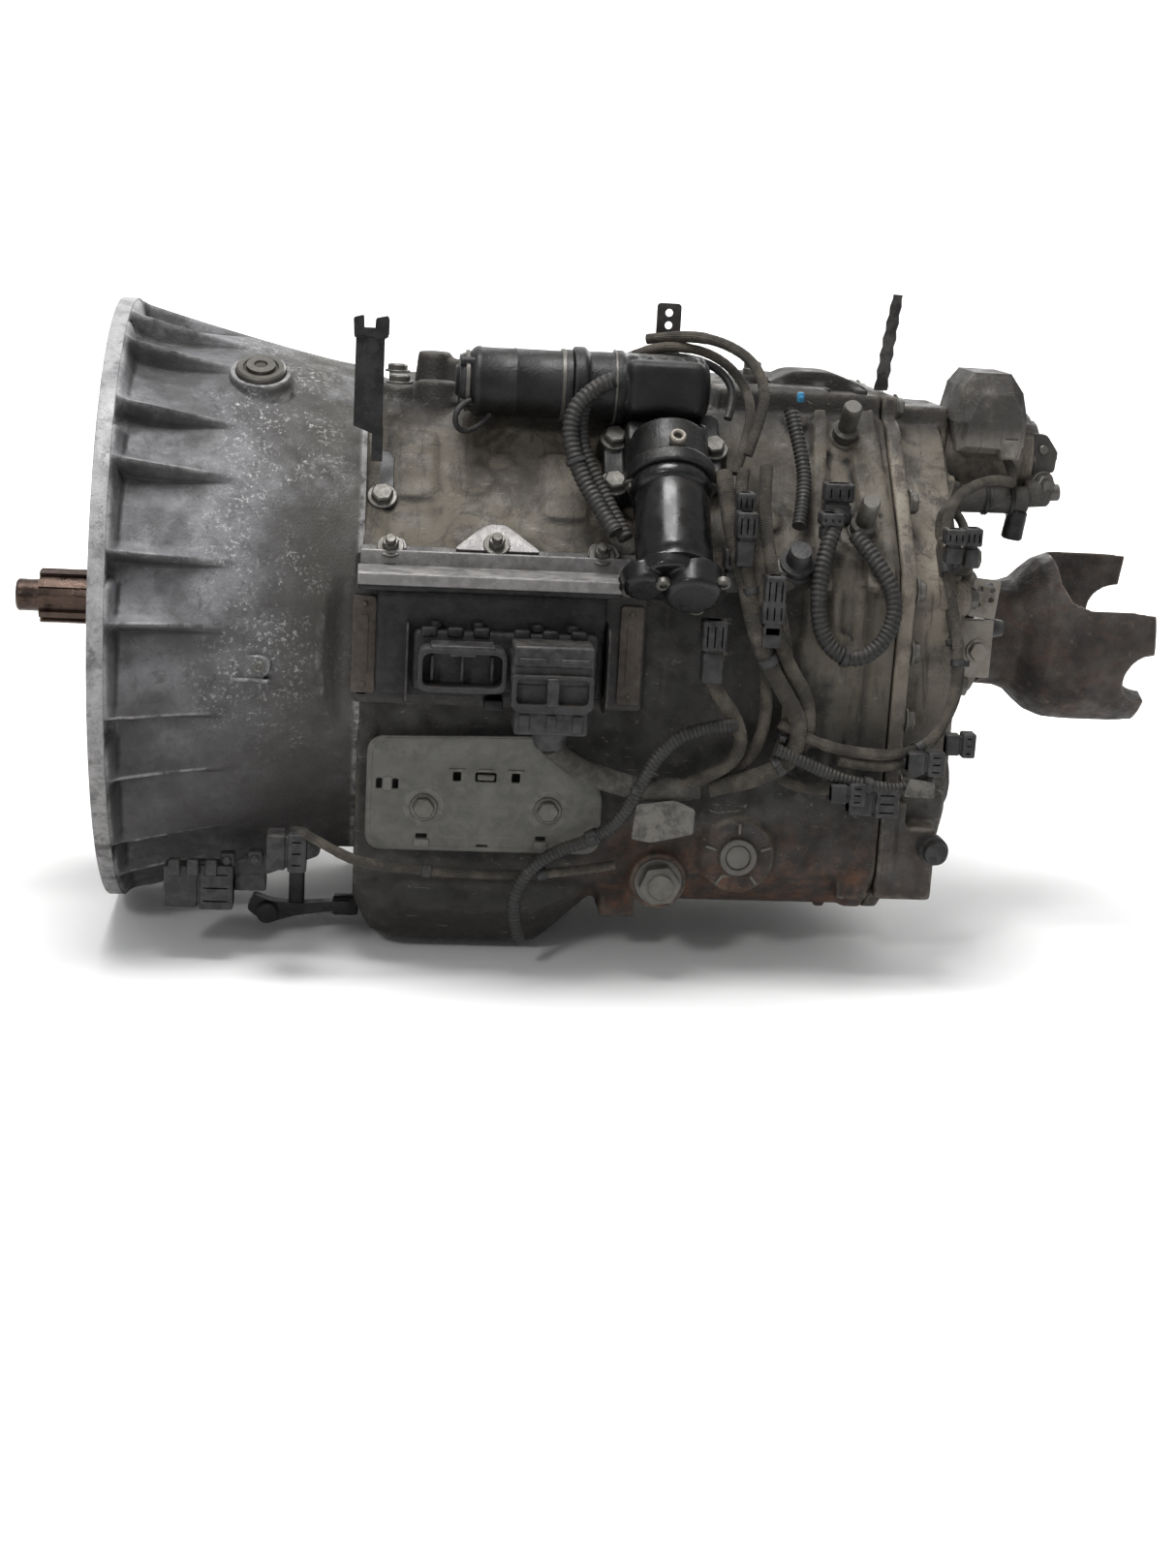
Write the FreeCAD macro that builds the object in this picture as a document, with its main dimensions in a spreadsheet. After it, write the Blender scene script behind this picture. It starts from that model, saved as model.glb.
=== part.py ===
import FreeCAD, Part
import math
import os
import re
import Sketcher

# Twin-countershaft heavy truck transmission with an automated shifter.
# Frame: origin at the centre of the clutch housing's engine face, on the shaft line.
# +X runs back to the output yoke, +Z is up, and -Y is the side that carries the controller.

doc = FreeCAD.newDocument("transmission")
sheet = doc.addObject("Spreadsheet::Sheet", "dims")

DIMENSIONS = [
    # clutch housing
    ("flange_radius", 277),
    ("flange_thickness", 14),
    ("pilot_radius", 255.6),
    ("pilot_depth", 8),
    ("bolt_circle", 530.2),
    ("bolt_hole_radius", 5.95),
    ("bell_mouth_radius", 257),
    ("bell_waist", 130),
    ("bell_waist_radius", 243),
    ("bell_back_radius", 226),
    ("bell_wall", 10),
    ("rib_thickness", 8),
    ("wide_pocket_angle", 24.5),
    ("narrow_pocket_angle", 42),
    ("inspection_angle", 27),
    # casing stations along the shaft line
    ("case_front", 225),
    ("front_wall", 20),
    ("bulkhead_front", 520),
    ("bulkhead_back", 556),
    ("case_back", 690),
    ("housing_wall_front", 738),
    ("housing_back", 762),
    ("case_wall", 12),
    ("case_side", 215),
    ("case_top", 205),
    ("case_floor", 232),
    ("sump_floor", 285),
    ("shoulder", 212),
    # bores
    ("input_bore", 52),
    ("counter_bore", 36),
    ("main_bore", 50),
    ("output_bore", 62),
    ("bearing_gap", 0.3),
    # gears
    ("tooth_module", 4),
    ("pressure_angle", 25),
    ("flank_thinning", 0.15),
    ("centre_distance", 120),
    ("idler_main_distance", 104),
    ("idler_counter_distance", 56),
    ("gear_bore", 25.6),
    ("counter_gear_bore", 24.05),
    ("dog_count", 24),
    ("dog_tip", 36),
    ("dog_root", 33),
    ("dog_gap", 0.4),
    ("dog_depth", 9.5),
    ("spline_count", 12),
    ("spline_tip", 25),
    ("spline_root", 22.5),
    # gear stations: front face and width
    ("drive_front", 250),
    ("drive_width", 26),
    ("overdrive_front", 305),
    ("overdrive_width", 24),
    ("third_front", 332),
    ("third_width", 26),
    ("second_front", 387),
    ("second_width", 28),
    ("first_front", 418),
    ("first_width", 32),
    ("reverse_front", 479),
    ("reverse_width", 28),
    ("aux_drive_front", 564),
    ("aux_drive_width", 30),
    ("aux_low_front", 623),
    ("aux_low_width", 38),
    # shafts
    ("input_tip", -95),
    ("input_pilot_radius", 15),
    ("input_pilot_length", 22),
    ("input_spline_tip", 25.4),
    ("input_spline_root", 21.6),
    ("input_body_radius", 23),
    ("input_journal_radius", 30),
    ("counter_body_radius", 24),
    ("counter_journal_radius", 17),
    ("main_journal_radius", 30),
    ("output_journal_radius", 35),
    ("output_end", 884),
    # shift mechanism
    ("clutch_length", 24),
    ("groove_width", 7),
    ("groove_radius", 30),
    ("fork_thickness", 6),
    ("fork_inner", 30.5),
    ("fork_outer", 42),
    ("rail_radius", 7),
    ("rail_height", 166),
    ("rail_spacing", 36),
    ("rail_front", 256),
    ("rail_length", 252),
    ("gate_station", 372.5),
    ("front_clutch_centre", 290.5),
    ("middle_clutch_centre", 372.5),
    ("rear_clutch_centre", 464.5),
    ("range_clutch_centre", 619.5),
    ("range_bar_height", 172),
    ("range_bar_radius", 8),
    # output yoke
    ("yoke_front", 818),
    ("yoke_barrel_radius", 50),
    ("yoke_head_front", 872),
    ("yoke_head_radius", 84),
    ("yoke_ears_front", 906),
    ("yoke_ear_inside", 58),
    ("yoke_end", 972),
    ("seat_station", 970),
    ("seat_radius", 24.6),
    ("seat_tilt", 20),
    ("strap_bolt_radius", 5),
    ("strap_bolt_depth", 32),
    ("strap_bolt_side", 64),
    ("strap_bolt_height", 36),
    # shifter, range cylinder and brackets outside
    ("shift_motor_station", 484),
    ("shift_motor_height", 40),
    ("shift_motor_radius", 33),
    ("rail_motor_side", -132),
    ("rail_motor_height", 227),
    ("rail_motor_radius", 31),
    ("sheet", 3),
    ("strap_side", -143),
    ("strap_left", 212),
    ("strap_width", 26),
    ("strap_foot", 160.5),
    ("strap_shoulder", 184),
    ("strap_top", 272),
    # clutch release
    ("release_station", 150),
    ("release_height", -75),
    ("release_shaft_radius", 14),
    # fasteners
    ("bolt_radius", 5),
    ("bolt_head_radius", 9.5),
    ("bolt_head_height", 7),
    ("bolt_grip", 20),
]

for row, (alias, value) in enumerate(DIMENSIONS, start=1):
    sheet.set(f"A{row}", alias)
    sheet.set(f"B{row}", str(value))
    sheet.setAlias(f"B{row}", alias)
doc.recompute()

ALIASES = {alias for alias, value in DIMENSIONS}
NODES = []
serial = iter(range(1, 100000))


def size(alias):
    """A driving dimension read from the sheet."""
    return float(sheet.get(alias))


def expression(text):
    """An expression on the sheet's aliases, with the sheet's name put before each."""
    return re.sub(r"[a-z_]+", lambda word: "dims." + word[0] if word[0] in ALIASES else word[0], str(text))


def bind(item, **properties):
    """Bind properties of an object to expressions on the sheet."""
    for name, text in properties.items():
        item.setExpression(name.replace("__", "."), expression(text))
    return item


def node(label, item):
    """Mark an object as a sub-part under its own label."""
    item.Label = label
    NODES.append(item)
    return item


AXES = {
    "X": FreeCAD.Vector(1, 0, 0),
    "Y": FreeCAD.Vector(0, 1, 0),
    "Z": FreeCAD.Vector(0, 0, 1),
    "shoulder": FreeCAD.Vector(0, -1, 1),
    "slope": FreeCAD.Vector(0, -1, -1),
}


def turn_to(axis):
    """The rotation that lays an object's own Z along a named axis."""
    return FreeCAD.Rotation(FreeCAD.Vector(0, 0, 1), AXES[axis])


def place(item, x, y, z):
    """Bind an object's position."""
    return bind(item, Placement__Base__x=x, Placement__Base__y=y, Placement__Base__z=z)


def box(x, y, z, length, width, height):
    """A block from its low corner."""
    item = doc.addObject("Part::Box", f"box{next(serial)}")
    bind(item, Length=length, Width=width, Height=height)
    return place(item, x, y, z)


def rod(axis, radius, length, x, y, z):
    """A cylinder from the centre of its first end."""
    item = doc.addObject("Part::Cylinder", f"rod{next(serial)}")
    item.Placement.Rotation = turn_to(axis)
    bind(item, Radius=radius, Height=length)
    return place(item, x, y, z)


def cone(axis, radius, end_radius, length, x, y, z):
    """A cone from the centre of its first end."""
    item = doc.addObject("Part::Cone", f"cone{next(serial)}")
    item.Placement.Rotation = turn_to(axis)
    bind(item, Radius1=radius, Radius2=end_radius, Height=length)
    return place(item, x, y, z)


def hexagon(axis, radius, length, x, y, z):
    """A hexagonal prism, such as a bolt's head."""
    item = doc.addObject("Part::Prism", f"hexagon{next(serial)}")
    item.Polygon = 6
    item.Placement.Rotation = turn_to(axis)
    bind(item, Circumradius=radius, Height=length)
    return place(item, x, y, z)


def fuse(*parts):
    """One solid from parts that meet."""
    item = doc.addObject("Part::MultiFuse", f"fuse{next(serial)}")
    item.Shapes = list(parts)
    item.Refine = True
    return item


def cut(base, *tools):
    """A solid with tools taken away."""
    item = doc.addObject("Part::Cut", f"cut{next(serial)}")
    item.Base = base
    item.Tool = tools[0] if len(tools) == 1 else group(*tools)
    return item


def group(*parts):
    """Separate solids kept as one sub-part."""
    item = doc.addObject("Part::Compound", f"group{next(serial)}")
    item.Links = list(parts)
    return item


def origin_plane(body, role):
    """One of a body's own origin planes."""
    return [plane for plane in body.Origin.OriginFeatures if plane.Role == role][0]


def outline(body, role, points):
    """A closed sketch on an origin plane, each corner bound to a pair of expressions."""
    sketch = body.newObject("Sketcher::SketchObject", f"outline{next(serial)}")
    sketch.AttachmentSupport = [(origin_plane(body, role), "")]
    sketch.MapMode = "FlatFace"
    values = [tuple(evaluate(text) for text in point) for point in points]
    count = len(points)
    edges = []
    for i in range(count):
        start = FreeCAD.Vector(*values[i], 0)
        end = FreeCAD.Vector(*values[(i + 1) % count], 0)
        edges.append(sketch.addGeometry(Part.LineSegment(start, end)))
    for i, point in enumerate(points):
        sketch.addConstraint(Sketcher.Constraint("Coincident", edges[i - 1], 2, edges[i], 1))
        for kind, text, value in zip(("DistanceX", "DistanceY"), point, values[i]):
            index = sketch.addConstraint(Sketcher.Constraint(kind, -1, 1, edges[i], 1, value))
            sketch.setExpression(f"Constraints[{index}]", expression(text))
    return sketch


def evaluate(text):
    """The present value of an expression on the sheet, for a sketch's first draft."""
    return float(sheet.evalExpression(expression(text)))


def turned(points, y=0, z=0):
    """A body turned about its own X axis from (x, radius) points."""
    body = doc.addObject("PartDesign::Body", f"turned{next(serial)}")
    sketch = outline(body, "XZ_Plane", points)
    feature = body.newObject("PartDesign::Revolution", f"turn{next(serial)}")
    feature.Profile = sketch
    feature.ReferenceAxis = (sketch, ["H_Axis"])
    feature.Angle = 360
    sketch.Visibility = False
    return place(body, 0, y, z)


PLANES = {"X": "YZ_Plane", "Y": "XZ_Plane", "Z": "XY_Plane"}


def prism(axis, points, start, length):
    """A body padded along an axis from an outline in the plane across it."""
    body = doc.addObject("PartDesign::Body", f"prism{next(serial)}")
    sketch = outline(body, PLANES[axis], points)
    feature = body.newObject("PartDesign::Pad", f"pad{next(serial)}")
    feature.Profile = sketch
    feature.Reversed = axis == "Y"
    bind(feature, Length=length)
    sketch.Visibility = False
    return bind(body, **{f"Placement__Base__{axis.lower()}": start})


def feature(shape):
    """A Part::Feature for a shape that sketches and primitives don't suit."""
    item = doc.addObject("Part::Feature", f"feature{next(serial)}")
    placement = shape.Placement
    item.Shape = shape
    item.Placement = placement
    return item


# ---------------------------------------------------------------- toothed shapes

MODULE = size("tooth_module")
PRESSURE = math.radians(size("pressure_angle"))


def involute(angle):
    return math.tan(angle) - angle


def extruded(corners, width):
    """A prism along X from (radius, angle) corners about the shaft line."""
    points = [FreeCAD.Vector(0, r * math.cos(a), r * math.sin(a)) for r, a in corners]
    face = Part.Face(Part.makePolygon(points + points[:1]))
    return face.extrude(FreeCAD.Vector(width, 0, 0))


def spur_blank(teeth, width, phase=0.0):
    """A spur gear without its bore; a tooth is centred on the phase, an angle from +Y towards +Z."""
    pitch_radius = MODULE * teeth / 2
    base_radius = pitch_radius * math.cos(PRESSURE)
    tip_radius = pitch_radius + MODULE
    root_radius = pitch_radius - 1.25 * MODULE
    flank_start = max(base_radius, root_radius + 0.2)
    half_pitch = (math.pi * MODULE / 4 - size("flank_thinning")) / pitch_radius

    def half_angle(radius):
        pressure_here = math.acos(min(1.0, base_radius / radius))
        return half_pitch + involute(PRESSURE) - involute(pressure_here)

    halfway = (flank_start + pitch_radius) / 2
    radii = [flank_start, halfway, pitch_radius, pitch_radius + MODULE / 2, tip_radius]
    flank = [(root_radius, half_angle(flank_start))] + [(r, half_angle(r)) for r in radii]
    corners = []
    for tooth in range(teeth):
        middle = phase + 2 * math.pi * tooth / teeth
        corners += [(r, middle - a) for r, a in flank]
        corners += [(r, middle + a) for r, a in reversed(flank)]
    return extruded(corners, width)


def comb(count, root, tip, root_share, tip_share, width):
    """Straight-flanked teeth round the shaft line, each taking a share of its pitch."""
    pitch = 2 * math.pi / count
    corners = []
    for tooth in range(count):
        middle = tooth * pitch
        corners.append((root, middle - pitch * root_share / 2))
        corners.append((tip, middle - pitch * tip_share / 2))
        corners.append((tip, middle + pitch * tip_share / 2))
        corners.append((root, middle + pitch * root_share / 2))
    return extruded(corners, width)


def cylinder(radius, start, length):
    """A plain cylinder along the shaft line."""
    return Part.makeCylinder(radius, length, FreeCAD.Vector(start, 0, 0), FreeCAD.Vector(1, 0, 0))


def dog_recess():
    """The hollow with inward dog teeth that a sliding clutch enters."""
    gap = size("dog_gap")
    return comb(int(size("dog_count")), size("dog_root") + gap, size("dog_tip") + gap, 0.54, 0.44, size("dog_depth"))


def shaft_spline(start, end):
    """The mainshaft's and the output shaft's outer splines."""
    teeth = comb(int(size("spline_count")), size("spline_root"), size("spline_tip"), 0.5, 0.5, end - start)
    teeth.translate(FreeCAD.Vector(start, 0, 0))
    return teeth


def meshed_phase(phase, teeth, direction, mate_teeth):
    """The phase that puts a mate in mesh with a gear, the mate lying in the given direction."""
    offset = (direction - phase) * teeth / (2 * math.pi)
    return direction + math.pi - (0.5 - offset) * 2 * math.pi / mate_teeth


# The upper countershaft lies up the 45 degree shoulder and the lower one opposite to it.
COUNTER_DIRECTIONS = {"upper": math.radians(135), "lower": math.radians(-45)}
MAIN_PHASE = COUNTER_DIRECTIONS["upper"]


def polar(distance, direction):
    """The (y, z) of a centre at a distance and direction from the shaft line."""
    return distance * math.cos(direction), distance * math.sin(direction)


def moved(shape, x, y=0.0, z=0.0):
    shape.translate(FreeCAD.Vector(x, y, z))
    return shape


def main_gear(label, teeth, station, recess):
    """A gear on the shaft line; the dog recess is in its front or rear face."""
    front = size(station + "_front")
    width = size(station + "_width")
    shape = moved(spur_blank(teeth, width, MAIN_PHASE), front)
    shape = shape.cut(cylinder(size("gear_bore"), front - 1, width + 2))
    depth = size("dog_depth")
    start = front if recess == "front" else front + width - depth
    shape = shape.cut(moved(dog_recess(), start))
    return node(label, feature(shape))


def counter_blank(side, teeth, mate_teeth, station):
    """A countershaft gear's blank in mesh with its mate on the shaft line."""
    direction = COUNTER_DIRECTIONS[side]
    phase = meshed_phase(MAIN_PHASE, mate_teeth, direction, teeth)
    y, z = polar(size("centre_distance"), direction)
    shape = spur_blank(teeth, size(station + "_width"), phase)
    return moved(shape, size(station + "_front"), y, z)


TEETH = {
    # station: teeth on the shaft line, teeth on each countershaft
    "drive": (30, 30),
    "overdrive": (24, 36),
    "third": (36, 24),
    "second": (40, 20),
    "first": (45, 15),
    "reverse": (36, 12),
    "aux_drive": (24, 36),
    "aux_low": (40, 20),
}
IDLER_TEETH = 16


def idler_layout(side):
    """Direction and centre of a reverse idler, in mesh with the reverse gear and the countershaft."""
    main = size("centre_distance")
    to_main = size("idler_main_distance")
    to_counter = size("idler_counter_distance")
    swing = math.acos((main ** 2 + to_main ** 2 - to_counter ** 2) / (2 * main * to_main))
    direction = COUNTER_DIRECTIONS[side] + swing
    phase = meshed_phase(MAIN_PHASE, TEETH["reverse"][0], direction, IDLER_TEETH)
    return direction, phase, polar(to_main, direction)


def reverse_pinion(side):
    """The countershaft's reverse teeth, in mesh with the idler."""
    direction, phase, idler = idler_layout(side)
    counter = polar(size("centre_distance"), COUNTER_DIRECTIONS[side])
    towards = math.atan2(counter[1] - idler[1], counter[0] - idler[0])
    teeth = TEETH["reverse"][1]
    shape = spur_blank(teeth, size("reverse_width"), meshed_phase(phase, IDLER_TEETH, towards, teeth))
    return moved(shape, size("reverse_front"), *counter)


# ---------------------------------------------------------------- castings

CASE_OUTLINE = [
    ("-case_side", "-190"),
    ("-case_side", "1.4142 * shoulder - case_side"),
    ("case_top - 1.4142 * shoulder", "case_top"),
    ("150", "case_top"),
    ("case_side", "150"),
    ("case_side", "-150"),
    ("150", "-case_floor"),
    ("-165", "-case_floor"),
]

CAVITY_OUTLINE = [
    ("-(case_side - case_wall)", "-178"),
    ("-(case_side - case_wall)", "78"),
    ("-88", "case_top - case_wall"),
    ("144", "case_top - case_wall"),
    ("case_side - case_wall", "144"),
    ("case_side - case_wall", "-144"),
    ("144", "-(case_floor - case_wall)"),
    ("-160", "-(case_floor - case_wall)"),
]

COUNTER_Y = "0.70711 * centre_distance"
COUNTER_CENTRES = {"upper": (f"-{COUNTER_Y}", COUNTER_Y), "lower": (COUNTER_Y, f"-{COUNTER_Y}")}


BELL_BOLTS = 12


def clutch_housing():
    """Bell-shaped casting: bolted flange, wide and narrow pockets between tapered ribs, and a rear wall."""
    body = turned([
        ("0", "pilot_radius"),
        ("0", "flange_radius"),
        ("flange_thickness", "flange_radius"),
        ("flange_thickness", "bell_mouth_radius"),
        ("bell_waist", "bell_waist_radius"),
        ("case_front - 13", "bell_back_radius"),
        ("case_front", "bell_back_radius"),
        ("case_front", "80"),
        ("case_front - front_wall", "80"),
        ("case_front - front_wall", "bell_back_radius - 1.6 * bell_wall"),
        ("bell_waist", "bell_waist_radius - bell_wall"),
        ("pilot_depth", "bell_mouth_radius - bell_wall"),
        ("pilot_depth", "pilot_radius"),
    ])
    rib = prism("Y", [
        ("flange_thickness - 1", "bell_mouth_radius - 4"),
        ("flange_thickness - 1", "flange_radius - 1"),
        ("bell_waist + 4", "bell_waist_radius + 1"),
        ("bell_waist + 4", "bell_waist_radius - 4"),
    ], "-rib_thickness / 2", "rib_thickness")
    ribs = polar_copies(rib, BELL_BOLTS, size("wide_pocket_angle"))
    ribs += polar_copies(rib, BELL_BOLTS, size("narrow_pocket_angle"))
    hole = rod("X", "bolt_hole_radius", "flange_thickness + 4", "-2", 0, "bolt_circle / 2")
    holes = polar_copies(hole, BELL_BOLTS, 180 / BELL_BOLTS)
    side_boss = rod("Y", "26", "30", "release_station", "-219", "release_height")
    side_bore = rod("Y", "release_shaft_radius + 0.3", "20", "release_station", "-208", "release_height")
    far_boss = rod("Y", "26", "50", "release_station", "186", "release_height")
    far_bore = rod("Y", "release_shaft_radius + 0.3", "60", "release_station", "180", "release_height")
    flat = box("case_front - 16", "-260", "-190", "20", "43", "275")
    solid = fuse(body, *ribs, side_boss, far_boss, inspection_step("25", "234", "18"))
    return node("clutch_housing", cut(solid, side_bore, far_bore, flat, *holes))


def inspection_step(radius, start, height):
    """A round step of the inspection opening and its plug, square to the shaft line."""
    item = rod("Z", radius, height, 0, 0, 0)
    tilt = FreeCAD.Rotation(FreeCAD.Vector(1, 0, 0), size("inspection_angle"))
    item.Placement.Rotation = tilt
    return place(item, "131", f"-sin(inspection_angle) * {start}", f"cos(inspection_angle) * {start}")


def polar_copies(item, count, first_angle):
    """Links of a shape turned about the shaft line in even steps."""
    copies = []
    for step in range(count):
        copy = doc.addObject("Part::Compound", f"copy{next(serial)}")
        copy.Links = [item]
        angle = first_angle + step * 360 / count
        copy.Placement = FreeCAD.Placement(FreeCAD.Vector(), FreeCAD.Rotation(FreeCAD.Vector(1, 0, 0), angle))
        copies.append(copy)
    return copies


def main_case(drilled):
    """Main casting: gear cavity, bulkhead, rear cavity and sump."""
    shell = prism("X", CASE_OUTLINE, "case_front", "case_back - case_front")
    sump = prism("Y", [
        ("case_front", "-200"),
        ("case_front", "-(sump_floor - 16)"),
        ("case_front + 12", "-sump_floor"),
        ("400", "-sump_floor"),
        ("446", "-case_floor - 6"),
        ("446", "-200"),
    ], "-190", "330")
    top_pad = box("540", "-80", "case_top - 5", "150", "200", "28")
    filter_boss = rod("Y", "28", "30", "492", "-232", "-194")
    round_boss = rod("Y", "40", "14", "563", "-224", "-172")
    rear_foot = box("case_back - 30", "-214", "-212", "30", "80", "70")
    outside = fuse(shell, sump, top_pad, filter_boss, round_boss, rear_foot)
    front_length = "bulkhead_front - case_front - front_wall"
    front_cavity = prism("X", CAVITY_OUTLINE, "case_front + front_wall", front_length)
    rear_cavity = prism("X", CAVITY_OUTLINE, "bulkhead_back", "case_back - bulkhead_back + 2")
    sump_cavity = box("case_front + 14", "-176", "-sump_floor + 12", "160", "300", "60")
    top_opening = box("252", "-60", "case_top - 20", "253", "120", "24")
    input_bore = rod("X", "input_bore", "front_wall + 4", "case_front - 2", 0, 0)
    main_bore = rod("X", "main_bore", "44", "bulkhead_front - 4", 0, 0)
    bores = [input_bore, main_bore]
    for y, z in COUNTER_CENTRES.values():
        bores.append(rod("X", "counter_bore", "front_wall + 4", "case_front - 2", y, z))
        bores.append(rod("X", "counter_bore", "17", "bulkhead_front - 1", y, z))
        bores.append(rod("X", "counter_bore", "17", "bulkhead_back - 16", y, z))
    for side in COUNTER_DIRECTIONS:
        y, z = idler_layout(side)[2]
        bores.append(rod("X", "12", "20", "bulkhead_front - 1", y, z))
    return node("main_case", cut(outside, front_cavity, rear_cavity, sump_cavity, top_opening, *bores, *drilled))


HOUSING_OUTLINE = [
    ("-192", "-150"),
    ("-192", "66"),
    ("-58", "200"),
    ("138", "200"),
    ("192", "146"),
    ("192", "-130"),
    ("130", "-196"),
    ("-140", "-196"),
]

HOUSING_CAVITY = [
    ("-178", "-144"),
    ("-178", "60"),
    ("-50", "188"),
    ("130", "188"),
    ("178", "140"),
    ("178", "-124"),
    ("124", "-182"),
    ("-134", "-182"),
]


def rear_housing(drilled):
    """Range section housing behind the main case, with the output bearing wall."""
    flange = prism("X", CASE_OUTLINE, "case_back", "14")
    shell = prism("X", HOUSING_OUTLINE, "case_back", "housing_back - case_back")
    top_flange = box("case_back", "-80", "case_top - 5", "14", "200", "28")
    foot = box("case_back", "-214", "-212", "54", "80", "70")
    valve_pad = box("case_back + 22", "-45", "195", "50", "90", "22")
    outside = fuse(flange, top_flange, shell, foot, valve_pad)
    cavity = prism("X", HOUSING_CAVITY, "case_back - 2", "housing_wall_front - case_back + 2")
    output_bore = rod("X", "output_bore", "40", "housing_wall_front - 4", 0, 0)
    bar_bore = rod("X", "range_bar_radius + 0.3", "40", "housing_wall_front - 4", 0, "range_bar_height")
    bores = [output_bore, bar_bore]
    for y, z in COUNTER_CENTRES.values():
        bores.append(rod("X", "counter_bore", "20", "housing_wall_front - 1", y, z))
    return node("rear_housing", cut(outside, cavity, *bores, *drilled))


def shift_rail_housing(drilled):
    """Top cover that carries the three shift rails and the gate for the shift finger."""
    plate = box("244", "-78", "case_top", "276", "156", "12")
    tower = box("334", "-72", "case_top + 10", "77", "144", "17")
    front_hanger = box("255", "-55", "150", "12", "110", "case_top - 148")
    rear_hanger = box("489", "-55", "150", "12", "110", "case_top - 148")
    outside = fuse(plate, tower, front_hanger, rear_hanger)
    well = box("344", "-62", "case_top - 4", "57", "124", "25")
    hollow = box("292", "-50", "case_top - 1", "40", "100", "8")
    far_hollow = box("416", "-50", "case_top - 1", "66", "100", "8")
    bores = [rod("X", "rail_radius + 0.3", "262", "248", y, "rail_height")
             for y in ("-rail_spacing", "0", "rail_spacing")]
    return node("shift_rail_housing", cut(outside, well, hollow, far_hollow, *bores, *drilled))


def covers(drilled):
    """Bearing covers and power take-off covers."""
    flange = rod("X", "72", "12", "case_front - 12", 0, 0)
    quill = rod("X", "30", "95", "case_front - 105", 0, 0)
    bore = rod("X", "input_journal_radius - 4.5", "140", "case_front - 125", 0, 0)
    node("input_bearing_cover", cut(fuse(flange, quill), bore, *drilled["input"]))
    rear_flange = rod("X", "92", "14", "housing_back", 0, 0)
    nose = cone("X", "70", "60", "36", "housing_back + 13", 0, 0)
    nose_bore = rod("X", "output_journal_radius + 0.5", "80", "housing_back - 10", 0, 0)
    seal_seat = rod("X", "yoke_barrel_radius + 1", "20", "housing_back + 42", 0, 0)
    node("output_bearing_cover", cut(fuse(rear_flange, nose), nose_bore, seal_seat, *drilled["output"]))
    side = box("295", "case_side", "-150", "120", "11", "130")
    bottom = box("500", "-10", "-(case_floor + 10)", "140", "130", "10")
    node("pto_covers", group(cut(side, *drilled["side_pto"]), cut(bottom, *drilled["bottom_pto"])))


# ---------------------------------------------------------------- bearings

def bearing(inner, outer, width, x, y, z):
    """A rolling bearing as inner race, roller cage and outer race, standing clear of its shaft."""
    race = f"({outer} - {inner} - bearing_gap) / 3"
    radii = [f"{inner} + bearing_gap", f"{inner} + bearing_gap + {race}", f"{inner} + bearing_gap + 2 * {race}", outer]
    rings = []
    for low, high in zip(radii, radii[1:]):
        disc = rod("X", f"{high} - 0.05", width, x, y, z)
        hole = rod("X", f"{low} + 0.05", f"{width} + 2", f"{x} - 1", y, z)
        rings.append(cut(disc, hole))
    return rings


def bearings():
    """All the rolling bearings, held in the castings."""
    rings = bearing("input_journal_radius", "input_bore", "17", "case_front + 1", "0", "0")
    rings += bearing("main_journal_radius", "main_bore", "28", "bulkhead_front + 4", "0", "0")
    rings += bearing("output_journal_radius", "output_bore", "21", "housing_wall_front + 2", "0", "0")
    for y, z in COUNTER_CENTRES.values():
        for x in ("case_front + 3", "bulkhead_front + 1", "bulkhead_back - 15", "housing_wall_front + 2"):
            rings += bearing("counter_journal_radius", "counter_bore", "14", x, y, z)
    return node("shaft_bearings", group(*rings))


# ---------------------------------------------------------------- input and main section

def input_line():
    """Splined input shaft and the drive gear fixed on it."""
    body = turned([
        ("input_tip", "0"),
        ("input_tip", "input_pilot_radius - 2"),
        ("input_tip + 2", "input_pilot_radius"),
        ("input_tip + input_pilot_length", "input_pilot_radius"),
        ("input_tip + input_pilot_length", "input_spline_root"),
        ("60", "input_spline_root"),
        ("60", "input_body_radius"),
        ("case_front + 0.5", "input_body_radius"),
        ("case_front + 0.5", "input_journal_radius"),
        ("drive_front + 16", "input_journal_radius"),
        ("drive_front + 16", "14.4"),
        ("drive_front - 6", "14.4"),
        ("drive_front - 6", "0"),
    ])
    start = size("input_tip") + size("input_pilot_length")
    spline = comb(10, size("input_spline_root") - 1, size("input_spline_tip"), 0.5, 0.44, 60 - start)
    node("input_shaft", fuse(body, feature(moved(spline, start))))
    front = size("drive_front")
    width = size("drive_width")
    gear = moved(spur_blank(TEETH["drive"][0], width, MAIN_PHASE), front)
    gear = gear.cut(cylinder(size("input_journal_radius") + 0.05, front - 1, width + 2))
    gear = gear.cut(moved(dog_recess(), front + width - size("dog_depth")))
    node("drive_gear", feature(gear))


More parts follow.
